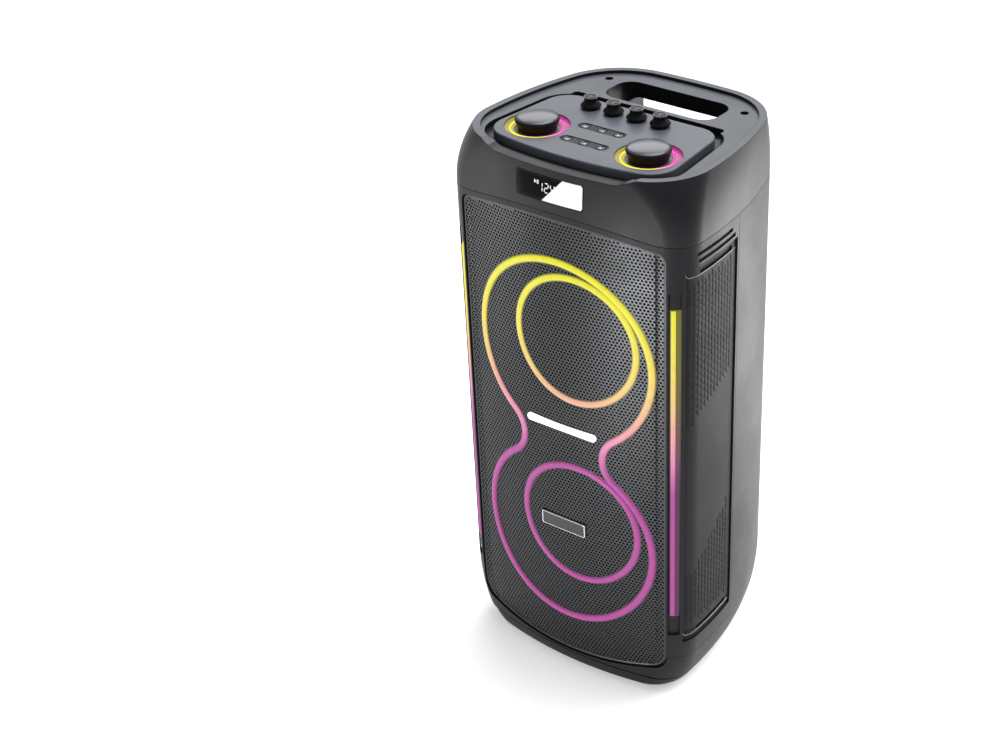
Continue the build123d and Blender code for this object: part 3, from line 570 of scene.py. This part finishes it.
def grille_hem():
    """Folded edge of the grille."""
    crest, back = GRILLE_DEPTH - 0.0008, GRILLE_DEPTH + SHEET
    profile = [(0.0002, back), (0.0002, GRILLE_DEPTH - 0.0002), (0.0008, crest), (0.0018, crest),
               (HEM, GRILLE_DEPTH - 0.0001), (HEM, back)]
    verts = []
    for inset, depth in profile:
        verts += [(x, front_y(x, depth, z), z) for x, z in OUTLINE.points(inset)]
    faces = grid_faces(len(profile), len(verts) // len(profile), close_rows=True, close_columns=True)
    make_object("grille_hem", (verts, faces), "grille_metal", smooth=50.0)


# -------------------- lights on the front
TUBE_HALF = 0.0035        # half width of a light tube
TUBE_PROUD = 0.0027       # height of a light tube over the grille
HALO_HALF = 0.0050         # half width of the painted halo under a tube, its glow on the grille
HALO_PROUD = 0.0004        # and its height
RING_WIDTH = 0.95         # width and height of the inner rings' tubes against the figure eight's
RING_HEIGHT = 0.9
WAIST = 0.056             # half width of the figure eight at its waist


def tube_mesh(path, half, proud, floor=GRILLE_FACE):
    """Domed strip along a closed path of (x, z) points on the bowed front."""
    turns = [math.radians(a) for a in range(-90, 91, 15)]
    section = [(math.sin(turn), math.cos(turn) ** 0.7) for turn in turns]
    verts = []
    for k, (x, z) in enumerate(path):
        rise, run = slope_at(path, k)
        for across, up in section:
            px, pz = x + across * half * rise, z - across * half * run
            verts.append((px, front_y(px, floor - proud * up, pz), pz))
    return verts, grid_faces(len(path), len(section), close_rows=True, close_columns=True)


def circle_path(x, z, radius, start=0.0, end=360.0, steps=160):
    """Points on a circle, angles from +X towards +Z."""
    closed = end - start >= 360.0
    count = steps if closed else steps + 1
    turns = [math.radians(start + (end - start) * k / steps) for k in range(count)]
    return [(x + radius * math.cos(t), z + radius * math.sin(t)) for t in turns]


def loop_path():
    """Centre line of the figure eight, from its CAD box and its waist."""
    low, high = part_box("loop_light")
    radius = (high.x - low.x) / 2 - TUBE_HALF
    x = (high.x + low.x) / 2
    lower, upper = low.z + TUBE_HALF + radius, high.z - TUBE_HALF - radius
    middle, rise = (lower + upper) / 2, (upper - lower) / 2
    neck = (WAIST ** 2 + rise ** 2 - radius ** 2) / (2 * (radius - WAIST))
    lean = math.degrees(math.atan2(rise, WAIST + neck))
    path = circle_path(x, upper, radius, -lean, 180 + lean, 180)
    path += circle_path(x - WAIST - neck, middle, neck, lean, -lean, 24)[1:]
    path += circle_path(x, lower, radius, 180 - lean, 360 + lean, 180)[1:]
    path += circle_path(x + WAIST + neck, middle, neck, 180 + lean, 180 - lean, 24)[1:-1]
    return path


def light_loops():
    """Domed tubes, each on a low and wide strip that is a painted halo: the dim glow the tube throws on the
    grille.
    """
    halo = height_glow("loop_halo_glow", 0.34)
    path = loop_path()
    tube = tube_mesh(path, TUBE_HALF, TUBE_PROUD)
    make_object("loop_tube", tube, "light_diffuser", replaces=("loop_light",))
    make_object("loop_halo", tube_mesh(path, HALO_HALF, HALO_PROUD), "light_diffuser", halo)
    for level in ("upper", "lower"):
        name = f"ring_light_{level}"
        low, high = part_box(name)
        radius = (high.x - low.x) / 2 - TUBE_HALF
        path = circle_path((low.x + high.x) / 2, (low.z + high.z) / 2, radius)
        tube = tube_mesh(path, TUBE_HALF * RING_WIDTH, TUBE_PROUD * RING_HEIGHT)
        make_object(f"ring_tube_{level}", tube, "light_diffuser", replaces=(name,))
        # painted halo: the ring's glow on the grille
        skirt = tube_mesh(path, HALO_HALF * RING_WIDTH, HALO_PROUD * RING_HEIGHT)
        make_object(f"ring_halo_{level}", skirt, "light_diffuser", halo)


def front_corners(name, inset=0.0):
    """Lower left and upper right (x, z) corners of a node seen from the front, pulled in by an inset."""
    low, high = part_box(name)
    return (low.x + inset, low.z + inset), (high.x - inset, high.z - inset)


def rounded_path(low, high, corner, inset=0.0, steps=8):
    """Rounded rectangle between two (x, z) corners, pulled in by an inset."""
    radius = max(corner - inset, 0.0002)
    centres = ((high[0] - corner, high[1] - corner), (low[0] + corner, high[1] - corner),
               (low[0] + corner, low[1] + corner), (high[0] - corner, low[1] + corner))
    path = []
    for quarter, (x, z) in enumerate(centres):
        path += circle_path(x, z, radius, 90 * quarter, 90 * quarter + 90, steps)
    return path


def domed_plate(low, high, corner, proud, taper=0.35):
    """Rounded plate on the bowed front between two (x, z) corners, with a soft edge."""
    # share of the tapered edge and share of the height, from the foot of the edge up
    edge = [(0.0, 0.0), (0.0, 0.6), (0.15, 0.85), (0.4, 0.96), (1.0, 1.0)]
    loops = []
    for share, up in edge:
        path = rounded_path(low, high, corner, share * taper * (high[1] - low[1]) / 2)
        loops.append([(x, front_y(x, GRILLE_FACE - proud * up), z) for x, z in path])
    return add_solid([], [], loops)


def strobe_and_badge():
    """White strobe lens with round ends, and a plain badge with a pale border."""
    low, high = front_corners("strobe_light")
    lens = domed_plate(low, high, (high[1] - low[1]) / 2 - 0.0001, TUBE_PROUD)
    make_object("strobe_lens", lens, "light_white", replaces=("strobe_light",))
    plate = domed_plate(*front_corners("badge_plate"), corner=0.002, proud=0.0020, taper=0.1)
    make_object("badge_base", plate, "badge_metal", replaces=("badge_plate",))
    border_inset, border_half, border_depth = 0.0016, 0.0005, 0.0012
    path = rounded_path(*front_corners("badge_plate", border_inset), border_inset, steps=6)
    border = tube_mesh(path, border_half, border_half, border_depth)
    make_object("badge_border", border, "badge_metal", metal("badge_border", (0.75, 0.75, 0.77), 0.25))


def light_bars():
    """Corner bars: a bright domed core on a wider, dimmer strip that fills the channel and is a painted halo
    of the bar's glow.
    """
    halo = height_glow("bar_halo_glow", 0.16)
    margin, over, core_share = 0.0006, 0.0012, 0.55
    for side, hand in SIDES:
        name = f"light_bar_{hand}"
        low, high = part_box(name)
        near, far = sorted((abs(low.x), abs(high.x)))
        core_span = (near + margin, near + core_share * (far - near))
        core = corner_strip(side, core_span, (low.z, high.z), depth=0.0018, rise=0.0019)
        make_object(f"bar_core_{hand}", core, "light_diffuser", replaces=(name,))
        # the wider strip is a painted halo of the bar's glow
        halo_span = (near - over, far + over)
        skirt = corner_strip(side, halo_span, (low.z - over, high.z + over), depth=0.0029, rise=0.0008)
        make_object(f"bar_halo_{hand}", skirt, "light_diffuser", halo)


def corner_strip(side, x, z, depth, rise):
    """Closed domed strip down the front corner between limits in X and Z."""
    columns, inner = 11, 0.0006
    middle, half = (x[0] + x[1]) / 2, (x[1] - x[0]) / 2
    shares = [2 * k / (columns - 1) - 1 for k in range(columns)]
    section = [(middle + across * half, max(1 - across * across, 0.0) ** 0.3) for across in shares]
    levels = (z[0], z[0] + 0.0008, z[0] + 0.003, z[1] - 0.003, z[1] - 0.0008, z[1])
    heights = (0.0, 0.7, 1.0, 1.0, 0.7, 0.0)
    loops = []
    for level, height in zip(levels, heights):
        places = [(px, rise * height * dome) for px, dome in section] + [(x[1], -inner), (x[0], -inner)]
        loops.append([corner_point(side, px, level, depth, up) for px, up in places])
    return add_solid([], [], loops)


def corner_point(side, x, z, depth, up):
    """Point at a depth inside the front or its corner arc, raised along the outward normal."""
    y = front_y(x, 0.0)
    on_corner = x > CORNER[0] + 0.010
    cx, cy = CORNER[:2] if on_corner else (0.0, FRONT_Y + FRONT_BOW)
    size = math.hypot(x - cx, y - cy)
    return side * (x + up * (x - cx) / size), front_y(x, depth) + up * (y - cy) / size, z


# -------------------- side panels
BRICK = (0.0068, -0.0061)  # step from one column of bricks to the next, in Y and Z
BRICK_HEIGHT = 0.0090
BRICK_GAP = 0.0011
BRICK_RISE = 0.0006
PANEL_SKIN = 0.0004        # the skin lies this far over and under the CAD panel's face
SKIN_Z = (0.0995, 0.5765)  # the skin's lower and upper edge, at the panel's two slots
TRIM_Z = (0.0917, 0.5769)  # lips under the lower and the upper slot
TRIM_R = 0.0006
TRIM_BEND = 0.0040         # radius of the lip's turned-up front end
TRIM_INSET = 0.002         # the lips and the bricks end this far inside the panel's front and rear edges
BRICK_INSET = (0.003, 0.004)
# embossed zones: height at the front edge, slope along Y, for the lower and the upper edge
ZONES = (((0.101, 0.0), (0.180, 0.83)), ((0.379, 0.51), (0.5755, 0.0)))


def side_panels():
    """Recessed side panels: a smooth sheet with raised bricks in two zones, and a lip under each slot."""
    for side, hand in SIDES:
        low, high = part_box(f"side_insert_{hand}")
        verts, faces = panel_skin(side, low, high)
        for zone in ZONES:
            add_bricks(verts, faces, side, (low.y + BRICK_INSET[0], high.y - BRICK_INSET[1]), zone)
        make_object(f"side_panel_{hand}", (verts, faces), "insert_plastic", smooth=35.0)
        span = (low.y + TRIM_INSET, high.y - TRIM_INSET)
        panel_trim(f"panel_trim_{hand}", side, span, TRIM_Z[1])
        panel_trim(f"panel_trim_low_{hand}", side, span, TRIM_Z[0])


def panel_trim(name, side, span, level):
    """Rounded lip under a slot of a side panel, turned up at its front end, in a paler grey that paints its
    highlight.
    """
    steps, rows = 10, 60
    length = span[1] - span[0] - TRIM_BEND
    path = []
    for angle in range(0, 91, 9):
        heading = math.radians(angle)
        along, up = TRIM_BEND * (1 - math.cos(heading)), TRIM_BEND * (1 - math.sin(heading))
        path.append((span[0] + along, level + up, heading))
    path += [(span[0] + TRIM_BEND + length * k / rows, level, math.pi / 2) for k in range(1, rows + 1)]
    loops = []
    for y, z, heading in path:
        loop = []
        for k in range(steps):
            turn = 2 * math.pi * k / steps
            out, across = TRIM_R * math.cos(turn), TRIM_R * math.sin(turn)
            x = side_x(y, INSERT_DEPTH, z) + out
            loop.append((side * x, y + across * math.cos(heading), z + across * math.sin(heading)))
        loops.append(loop)
    make_object(name, add_solid([], [], loops), "insert_plastic", MATERIALS["trim_highlight"], smooth=60.0)


def panel_skin(side, low, high):
    """Thin closed skin over the CAD panel, between its two slots."""
    columns, inset = 41, 0.001
    length = high.y - low.y - 2 * inset
    ys = [low.y + inset + length * k / (columns - 1) for k in range(columns)]
    outer, inner = INSERT_DEPTH - PANEL_SKIN, INSERT_DEPTH + PANEL_SKIN
    verts = []
    for z, depth in ((SKIN_Z[0], outer), (SKIN_Z[1], outer), (SKIN_Z[1], inner), (SKIN_Z[0], inner)):
        verts += [(side * side_x(y, depth, z), y, z) for y in ys]
    faces = grid_faces(4, columns, close_rows=True)
    faces.append([0, columns, 2 * columns, 3 * columns])
    faces.append([columns - 1, 4 * columns - 1, 3 * columns - 1, 2 * columns - 1])
    return verts, faces


def add_bricks(verts, faces, side, span, zone):
    """Raised parallelogram bricks in stepped columns between the zone's edges."""
    (floor_z, floor_slope), (roof_z, roof_slope) = zone
    half_y, half_z = (BRICK[0] - BRICK_GAP) / 2, (BRICK_HEIGHT - BRICK_GAP) / 2
    slant = BRICK[1] / BRICK[0] * half_y
    for column in range(int((span[1] - span[0]) / BRICK[0])):
        y = span[0] + (column + 0.5) * BRICK[0]
        bottom = floor_z + floor_slope * (y - span[0])
        top = roof_z + roof_slope * (y - span[0])
        z = floor_z + (column * BRICK[1]) % BRICK_HEIGHT - BRICK_HEIGHT
        while z < top:
            z += BRICK_HEIGHT
            if z - half_z + slant < bottom or z + half_z - slant > top:
                continue
            loops = []
            for shrink, rise in ((1.0, 0.0), (0.95, 0.75), (0.84, 1.0)):
                depth = INSERT_DEPTH - PANEL_SKIN + 0.0001 - rise * BRICK_RISE
                corners = [(y + shrink * u * half_y, z + shrink * (v * half_z + u * slant))
                           for u, v in ((-1, -1), (1, -1), (1, 1), (-1, 1))]
                loops.append([(side * side_x(py, depth, pz), py, pz) for py, pz in corners])
            add_solid(verts, faces, loops)


# -------------------- display
SEGMENTS = {"1": "bc", "2": "abged", "4": "fgbc", "6": "afgedc"}
# ends of the bars of a digit, in widths and half heights
BARS = {"a": (0, 2, 1, 2), "b": (1, 1, 1, 2), "c": (1, 0, 1, 1), "d": (0, 0, 1, 0), "e": (0, 0, 0, 1),
        "f": (0, 1, 0, 2), "g": (0, 1, 1, 1)}
DIGIT_PITCH = 1.62         # in widths of a digit
WINDOW_LOW, WINDOW_HIGH = front_corners("display_window")


def window_point(u, v):
    """Point (x, z) at shares of the display window's width and height."""
    return tuple(low + share * (high - low) for low, high, share in zip(WINDOW_LOW, WINDOW_HIGH, (u, v)))


def digit_outlines(text, x, z, width, height, stroke):
    """Seven-segment digits as bars with pointed ends."""
    shapes = []
    s = stroke / 2
    for letter in text:
        for key in SEGMENTS[letter]:
            ax, az, bx, bz = BARS[key]
            px, pz = x + ax * width, z + az * height / 2
            qx, qz = x + bx * width, z + bz * height / 2
            if az == bz:
                shapes.append([(px + s, pz), (px + 2 * s, pz - s), (qx - 2 * s, qz - s), (qx - s, qz),
                               (qx - 2 * s, qz + s), (px + 2 * s, pz + s)])
            else:
                shapes.append([(px, pz + s), (px + s, pz + 2 * s), (qx + s, qz - 2 * s), (qx, qz - s),
                               (qx - s, qz - 2 * s), (px - s, pz + 2 * s)])
        x += width * DIGIT_PITCH
    return shapes


def display():
    """Digits, play and pause mark, and the pale sheen across the right of the window."""
    x, z = window_point(0.385, 0.36)
    shapes = digit_outlines("1246", x - 0.003, z, width=0.0050, height=0.0105, stroke=0.0011)
    x, z = window_point(0.285, 0.62)
    tall, thick = 0.0044, 0.0008
    shapes.append([(x, z), (x + 0.003, z + tall / 2), (x, z + tall)])
    for left in (x + 0.0036, x + 0.0050):
        shapes.append([(left, z), (left + thick, z), (left + thick, z + tall), (left, z + tall)])
    verts, faces = [], []
    for outline in shapes:
        add_solid(verts, faces, [[(x, cap_front_y(x, z) - lift, z) for x, z in outline]
                                 for lift in (0.0003, -0.0001)])
    lit = white_glow("display_digits", (0.85, 0.87, 0.9), (0.95, 0.97, 1.0), (0.6, 0.7), 1.0)
    make_object("display_digits", (verts, faces), "display_glass", lit)
    sheen, tree, shader = new_material("display_sheen", Roughness=0.15)
    tint = blend(tree, noise(tree, Scale=60.0), (0.70, 0.72, 0.73), (0.80, 0.82, 0.83))
    tree.links.new(tint, shader.inputs["Base Color"])
    make_object("display_sheen", sheen_patch(), "display_glass", sheen)


def sheen_patch():
    """Closed sheet over the right of the window, with a slanted left edge and rounded right corners."""
    rows, columns = 12, 14
    # shares of the window's width and height; the left edge slants from one place to the other
    low, high, right, corner = 0.02, 0.985, 0.988, 0.06
    slant_low, slant_high, roundness = 0.40, 0.70, 5
    verts = []
    for lift in (0.0002, -0.0001):
        for i in range(rows):
            share = i / (rows - 1)
            v = low + (high - low) * share
            end = right - roundness * max(corner - min(v - low, high - v), 0.0) ** 2
            start = slant_low + (slant_high - slant_low) * share
            for j in range(columns):
                x, z = window_point(start + (end - start) * j / (columns - 1), v)
                verts.append((x, cap_front_y(x, z) - lift, z))
    count = rows * columns
    faces = grid_faces(rows, columns) + grid_faces(rows, columns, start=count)
    edge = list(range(columns)) + [i * columns + columns - 1 for i in range(1, rows)]
    edge += [count - 1 - j for j in range(1, columns)] + [i * columns for i in range(rows - 2, 0, -1)]
    for k, a in enumerate(edge):
        b = edge[(k + 1) % len(edge)]
        faces.append((a, b, count + b, count + a))
    return verts, faces


# -------------------- knobs and buttons
# profiles of turned pieces: share of the radius and drop from the top; a share of 0 is the pole
CROWN = ((0, 0), (0.35, 0.0002), (0.62, 0.0008), (0.82, 0.0018), (0.90, 0.0026), (0.925, 0.0033),
         (0.90, 0.0045), (0, 0.0045))
SKIRT = ((0, 0.0036), (0.90, 0.0036), (0.945, 0.0030), (0.985, 0.0040), (1, 0.0052), (0.985, 0.0072),
         (0.965, 0.0085), (0.95, 0.0090), (0.945, 0.0098), (0.88, 0.0160), (0, 0.0160))
BUTTON = ((0, 0.0010), (0.45, 0.0009), (0.72, 0.0004), (0.86, 0), (0.95, 0.0003), (1, 0.0012), (1, 0.0080),
          (0, 0.0080))
BEVEL = ((0.60, 0.0008), (0.60, 0.0001), (0.66, 0), (0.68, 0.0008))
# profile of a small knob under its crown: shares of the radius and of the height
SMALL_KNOB = ((0, 0), (0.84, 0), (0.90, 0.04), (0.985, 0.18), (1, 0.24), (0.96, 0.30), (0.82, 0.42),
              (0.69, 0.56), (0.635, 0.70), (0.64, 0.86), (0.66, 0.95))
RIBS = (18, 0.018)         # number and relative depth of the ribs round a small knob
RIBBED = (0.1, 0.5)        # the ribs' stretch, in shares of its height
KNOB_GAP = 0.0005          # between a small knob and the panel
CROWN_DROP = 0.0006        # a small knob's crown lies this far under its bevel
CROSS_REACH = 0.44         # half length of its cross, in shares of the radius
POLE_R = 0.0005
KNOB_GLOW_WAY = (0.81, 0.58, 0)  # level direction in which the rings' colour changes
# marks on the buttons, in shares of their size
MARKS = (
    [[(-1, -0.9), (0.9, 0), (-1, 0.9)]],
    [[(-0.9, -1), (-0.3, -1), (-0.3, 1), (-0.9, 1)], [(0.3, -1), (0.9, -1), (0.9, 1), (0.3, 1)]],
    [[(1, -0.9), (1, 0.9), (-0.9, 0)]],
)
MARK_SIZE = 0.34           # in shares of the button's radius
STRIP_RECESS = 0.0015      # depth of the strips' pockets in the panel
STRIP_FACES = (0.0001, 0.0011)  # heights of a strip's faces over its pocket's floor
STRIP_BEVEL = 0.0003
BUTTON_GAP = 0.0006
STRIP_HALF = 0.0070        # half width of a button strip
STRIP_END = 0.0088         # from the outer button's centre to the end of the strip


def drop_profile(shape, radius, top, pole=POLE_R):
    """(radius, height) points from shares of the radius and drops from the top."""
    return [(max(share * radius, pole), top - drop) for share, drop in shape]


def large_knobs():
    """Mushroom knobs with a domed satin cap, a bevelled rim and a dark neck; lit rings round them."""
    for hand in ("left", "right"):
        body = f"large_knob_{hand}"
        centre, radius, top = round_part(body)
        crown = lathe(drop_profile(CROWN, radius, top), centre)
        make_object(f"knob_crown_{hand}", crown, "knob_satin", body=body, replaces=(body,), smooth=50.0)
        skirt = lathe(drop_profile(SKIRT, radius, top), centre)
        make_object(f"knob_skirt_{hand}", skirt, "knob_black", body=body, smooth=50.0)
        knob_ring(hand, centre)


def knob_ring(hand, centre):
    """Bright thin ring and a wider, dimmer painted halo, the ring's glow on the floor of the knob's well."""
    name = f"knob_light_{hand}"
    low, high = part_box(name)
    outer, base = (high.x - low.x) / 2, low.z
    across = ((-outer, outer), KNOB_GLOW_WAY, (*centre, 0))
    halo = [(-0.006, 0.0003), (-0.006, 0.0010), (0.0035, 0.0016), (0.0046, 0.0036), (0.0047, 0.0003)]
    band = [(-0.0022, 0.0008), (-0.0022, 0.0024), (-0.0017, 0.0030), (-0.0011, 0.0024), (-0.0011, 0.0008)]
    for piece, profile, stops, strength, replaces in ((f"knob_halo_{hand}", halo, KNOB_HALO_GLOW, 1.3, (name,)),
                                                      (f"knob_ring_{hand}", band, KNOB_GLOW, 1.5, ())):
        ring = turned_ring([(outer + out, base + up) for out, up in profile], centre)
        make_object(piece, ring, "light_diffuser", glow(piece, stops, *across, strength), replaces=replaces,
                    smooth=50.0)


def small_knobs():
    """Waisted knobs with a ribbed skirt, a bright bevel round the crown and a raised cross."""
    bevel = metal("knob_bevel", (0.10, 0.103, 0.108), 0.25)
    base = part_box("control_panel")[1].z + KNOB_GAP
    for index in range(1, 5):
        body = f"small_knob_{index}"
        centre, radius, top = round_part(body)
        loops = []
        for share, rise in SMALL_KNOB:
            ribs = RIBS if RIBBED[0] < rise < RIBBED[1] else (0, 0.0)
            height = base + rise * (top - base)
            loops.append(turned_loop(centre, max(share * radius, POLE_R), height, 108, ribs))
        edge = SMALL_KNOB[-1][0] * radius
        loops += [turned_loop(centre, reach, top - CROWN_DROP, 108) for reach in (edge, POLE_R)]
        make_object(f"knob_body_{index}", add_solid([], [], loops), "knob_black", body=body, replaces=(body,),
                    smooth=45.0)
        ring = turned_ring(drop_profile(BEVEL, radius, top), centre, 64)
        make_object(f"knob_bevel_{index}", ring, "knob_black", bevel, body, smooth=60.0)
        cross = cross_mark(centre, top, CROSS_REACH * radius)
        make_object(f"knob_cross_{index}", cross, "knob_black", bevel, body, smooth=30.0)


def cross_mark(centre, top, reach):
    """Raised cross on the crown of a small knob."""
    verts, faces = [], []
    thick, first_turn = 0.0004, 0.3
    bar = ((-reach, -thick), (reach, -thick), (reach, thick), (-reach, thick))
    for turn in (first_turn, first_turn + math.pi / 2):
        c, s = math.cos(turn), math.sin(turn)
        add_solid(verts, faces, [
            [(centre[0] + grow * (u * c - v * s), centre[1] + grow * (u * s + v * c), z) for u, v in bar]
            for z, grow in ((top - 0.0007, 1.0), (top - 0.0002, 0.9))])
    return verts, faces


def push_buttons():
    """Dished buttons with a small pale arrow or pair of bars on each; the printed marks are given a glow,
    painted light.
    """
    # printed marks given a glow of their own: painted light, not a lamp
    light = white_glow("button_mark", (0.8, 0.82, 0.85), (0.9, 0.92, 0.95), (0.6, 0.7), 0.8)
    for index in range(1, 7):
        body = f"push_button_{index}"
        centre, radius, top = round_part(body)
        cap = lathe(drop_profile(BUTTON, radius, top, 0.0002), centre, 64)
        make_object(f"button_cap_{index}", cap, "button_plastic", body=body, replaces=(body,), smooth=50.0)
        verts, faces = [], []
        size, dish = MARK_SIZE * radius, top - 0.00088
        for outline in MARKS[index % len(MARKS)]:
            add_solid(verts, faces, [[(centre[0] + size * u, centre[1] + size * v, z) for u, v in outline]
                                     for z in (dish, dish + 0.0001)])
        make_object(f"button_mark_{index}", (verts, faces), "button_plastic", light, body)


def button_strips():
    """Dark pill-shaped trims in the panel, with a hole for each button."""
    strip = plastic("button_strip", (0.010, 0.011, 0.015), 0.40, bump=0.15, specular=0.10)
    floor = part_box("control_panel")[1].z - STRIP_RECESS
    for row, first in enumerate((1, 4)):
        buttons = [round_part(f"push_button_{first + k}") for k in range(3)]
        centres, hole = [button[0] for button in buttons], buttons[0][1] + BUTTON_GAP
        plate = pill_plate(centres, hole, floor + STRIP_FACES[0], floor + STRIP_FACES[1])
        make_object(f"button_strip_{row + 1}", plate, "button_plastic", strip)


def pill_plate(centres, hole, low, high):
    """Pill-shaped plate with round holes, split into one cell for each hole."""
    pitch = centres[1][0] - centres[0][0]
    steps, half, flat = 32, STRIP_HALF, STRIP_END - STRIP_HALF
    verts, faces = [], []
    for index, (cx, cy) in enumerate(centres):
        outer, inner = [], []
        for k in range(steps):
            turn = 2 * math.pi * (k + 0.5) / steps
            dx, dy = math.cos(turn), math.sin(turn)
            distance = min(pitch / 2 / abs(dx), half / abs(dy))
            if (index == 0 and dx < 0) or (index == len(centres) - 1 and dx > 0):
                round_end = flat * abs(dx) + math.sqrt(max((flat * dx) ** 2 - flat * flat + half * half, 0.0))
                distance = min(round_end, half / abs(dy) if abs(dx) * half / abs(dy) < flat else round_end)
            outer.append((cx + distance * dx, cy + distance * dy))
            inner.append((cx + hole * dx, cy + hole * dy))
        start = len(verts)
        for ring, z in ((outer, low), (outer, high - STRIP_BEVEL), (inner, high), (inner, low)):
            verts += [(x, y, z) for x, y in ring]
        faces += grid_faces(4, steps, close_rows=True, close_columns=True, start=start)
    return verts, faces


# -------------------- stage
# soft boxes: name, place, what it faces, width and height in metres, power in watts
LIGHTS = (
    ("right_box", (0.48, 0.56, 0.25), (0.16, 0.08, 0.40), (0.50, 0.48), 4.4),
    ("rear_box", (0.9, 1.3, 0.9), (0.1, 0.1, 0.4), (0.6, 0.9), 5),
    ("top_box", (-0.80, 1.12, 1.60), (0, 0, 0.69), (1.6, 0.9), 13),
    ("front_box", (-0.03, -0.95, 0.15), (0.12, -0.13, 0.42), (0.25, 0.30), 4.5),
    ("left_box", (-0.95, -0.75, 0.20), (-0.13, -0.10, 0.35), (0.3, 0.5), 2),
)


def place_object(name, data):
    """Object for data, linked to the scene."""
    item = bpy.data.objects.new(name, data)
    bpy.context.scene.collection.objects.link(item)
    return item


def stage():
    """Plain pale floor and soft studio light."""
    size = 20.0
    mesh = bpy.data.meshes.new("floor")
    corners = [(-size, -size, 0), (size, -size, 0), (size, size, 0), (-size, size, 0)]
    mesh.from_pydata(corners, [], [(0, 1, 2, 3)])
    floor = place_object("floor", mesh)
    material, tree, shader = new_material("floor_paper", Base_Color=(0.92, 0.92, 0.92, 1), Roughness=0.9,
                                          Emission_Color=(1, 1, 1, 1), Emission_Strength=0.32)
    add_grain(tree, shader, 60.0, 0.05)
    mesh.materials.append(material)
    world = bpy.data.worlds.new("studio")
    bpy.context.scene.world = world
    world.use_nodes = True
    back = world.node_tree.nodes["Background"]
    back.inputs["Color"].default_value = (0.97, 0.98, 1.0, 1)
    back.inputs["Strength"].default_value = 0.35
    sun = bpy.data.lights.new("overhead", "SUN")
    sun.energy = 2.9
    sun.angle = math.radians(50)
    place_object("overhead", sun).rotation_euler = facing((0.15, 0.35, 1.0))
    for name, place, target, (width, height), power in LIGHTS:
        light = bpy.data.lights.new(name, "AREA")
        light.shape = "RECTANGLE"
        light.size, light.size_y = width, height
        light.energy = power
        lamp = place_object(name, light)
        lamp.location = place
        lamp.rotation_euler = facing(Vector(place) - Vector(target))
        lamp.visible_camera = False


def facing(back):
    """Rotation that turns the back of a lamp, its +Z, to a direction."""
    return Vector(back).to_track_quat("Z", "Y").to_euler()


def camera():
    """Camera right of the front and above it, as the photograph was taken."""
    azimuth, elevation, roll = math.radians(35.5), math.radians(30.77), -0.0095
    distance = 2.238
    target = Vector((0, 0.008, 0.3426))
    data = bpy.data.cameras.new("camera")
    data.sensor_width = 36.0
    data.lens = 65.83
    data.shift_x = -0.1322
    data.shift_y = 0.0034
    eye = place_object("camera", data)
    direction = Vector((math.sin(azimuth) * math.cos(elevation), -math.cos(azimuth) * math.cos(elevation),
                        math.sin(elevation)))
    turn = direction.to_track_quat("Z", "Y").to_matrix().to_4x4() @ Matrix.Rotation(roll, 4, "Z")
    eye.matrix_world = Matrix.Translation(target + distance * direction) @ turn
    bpy.context.scene.camera = eye


bpy.context.scene.view_settings.view_transform = "Standard"
finish_cad_nodes()
perforated_grille()
grille_hem()
light_loops()
strobe_and_badge()
light_bars()
side_panels()
display()
large_knobs()
small_knobs()
push_buttons()
button_strips()
stage()
camera()
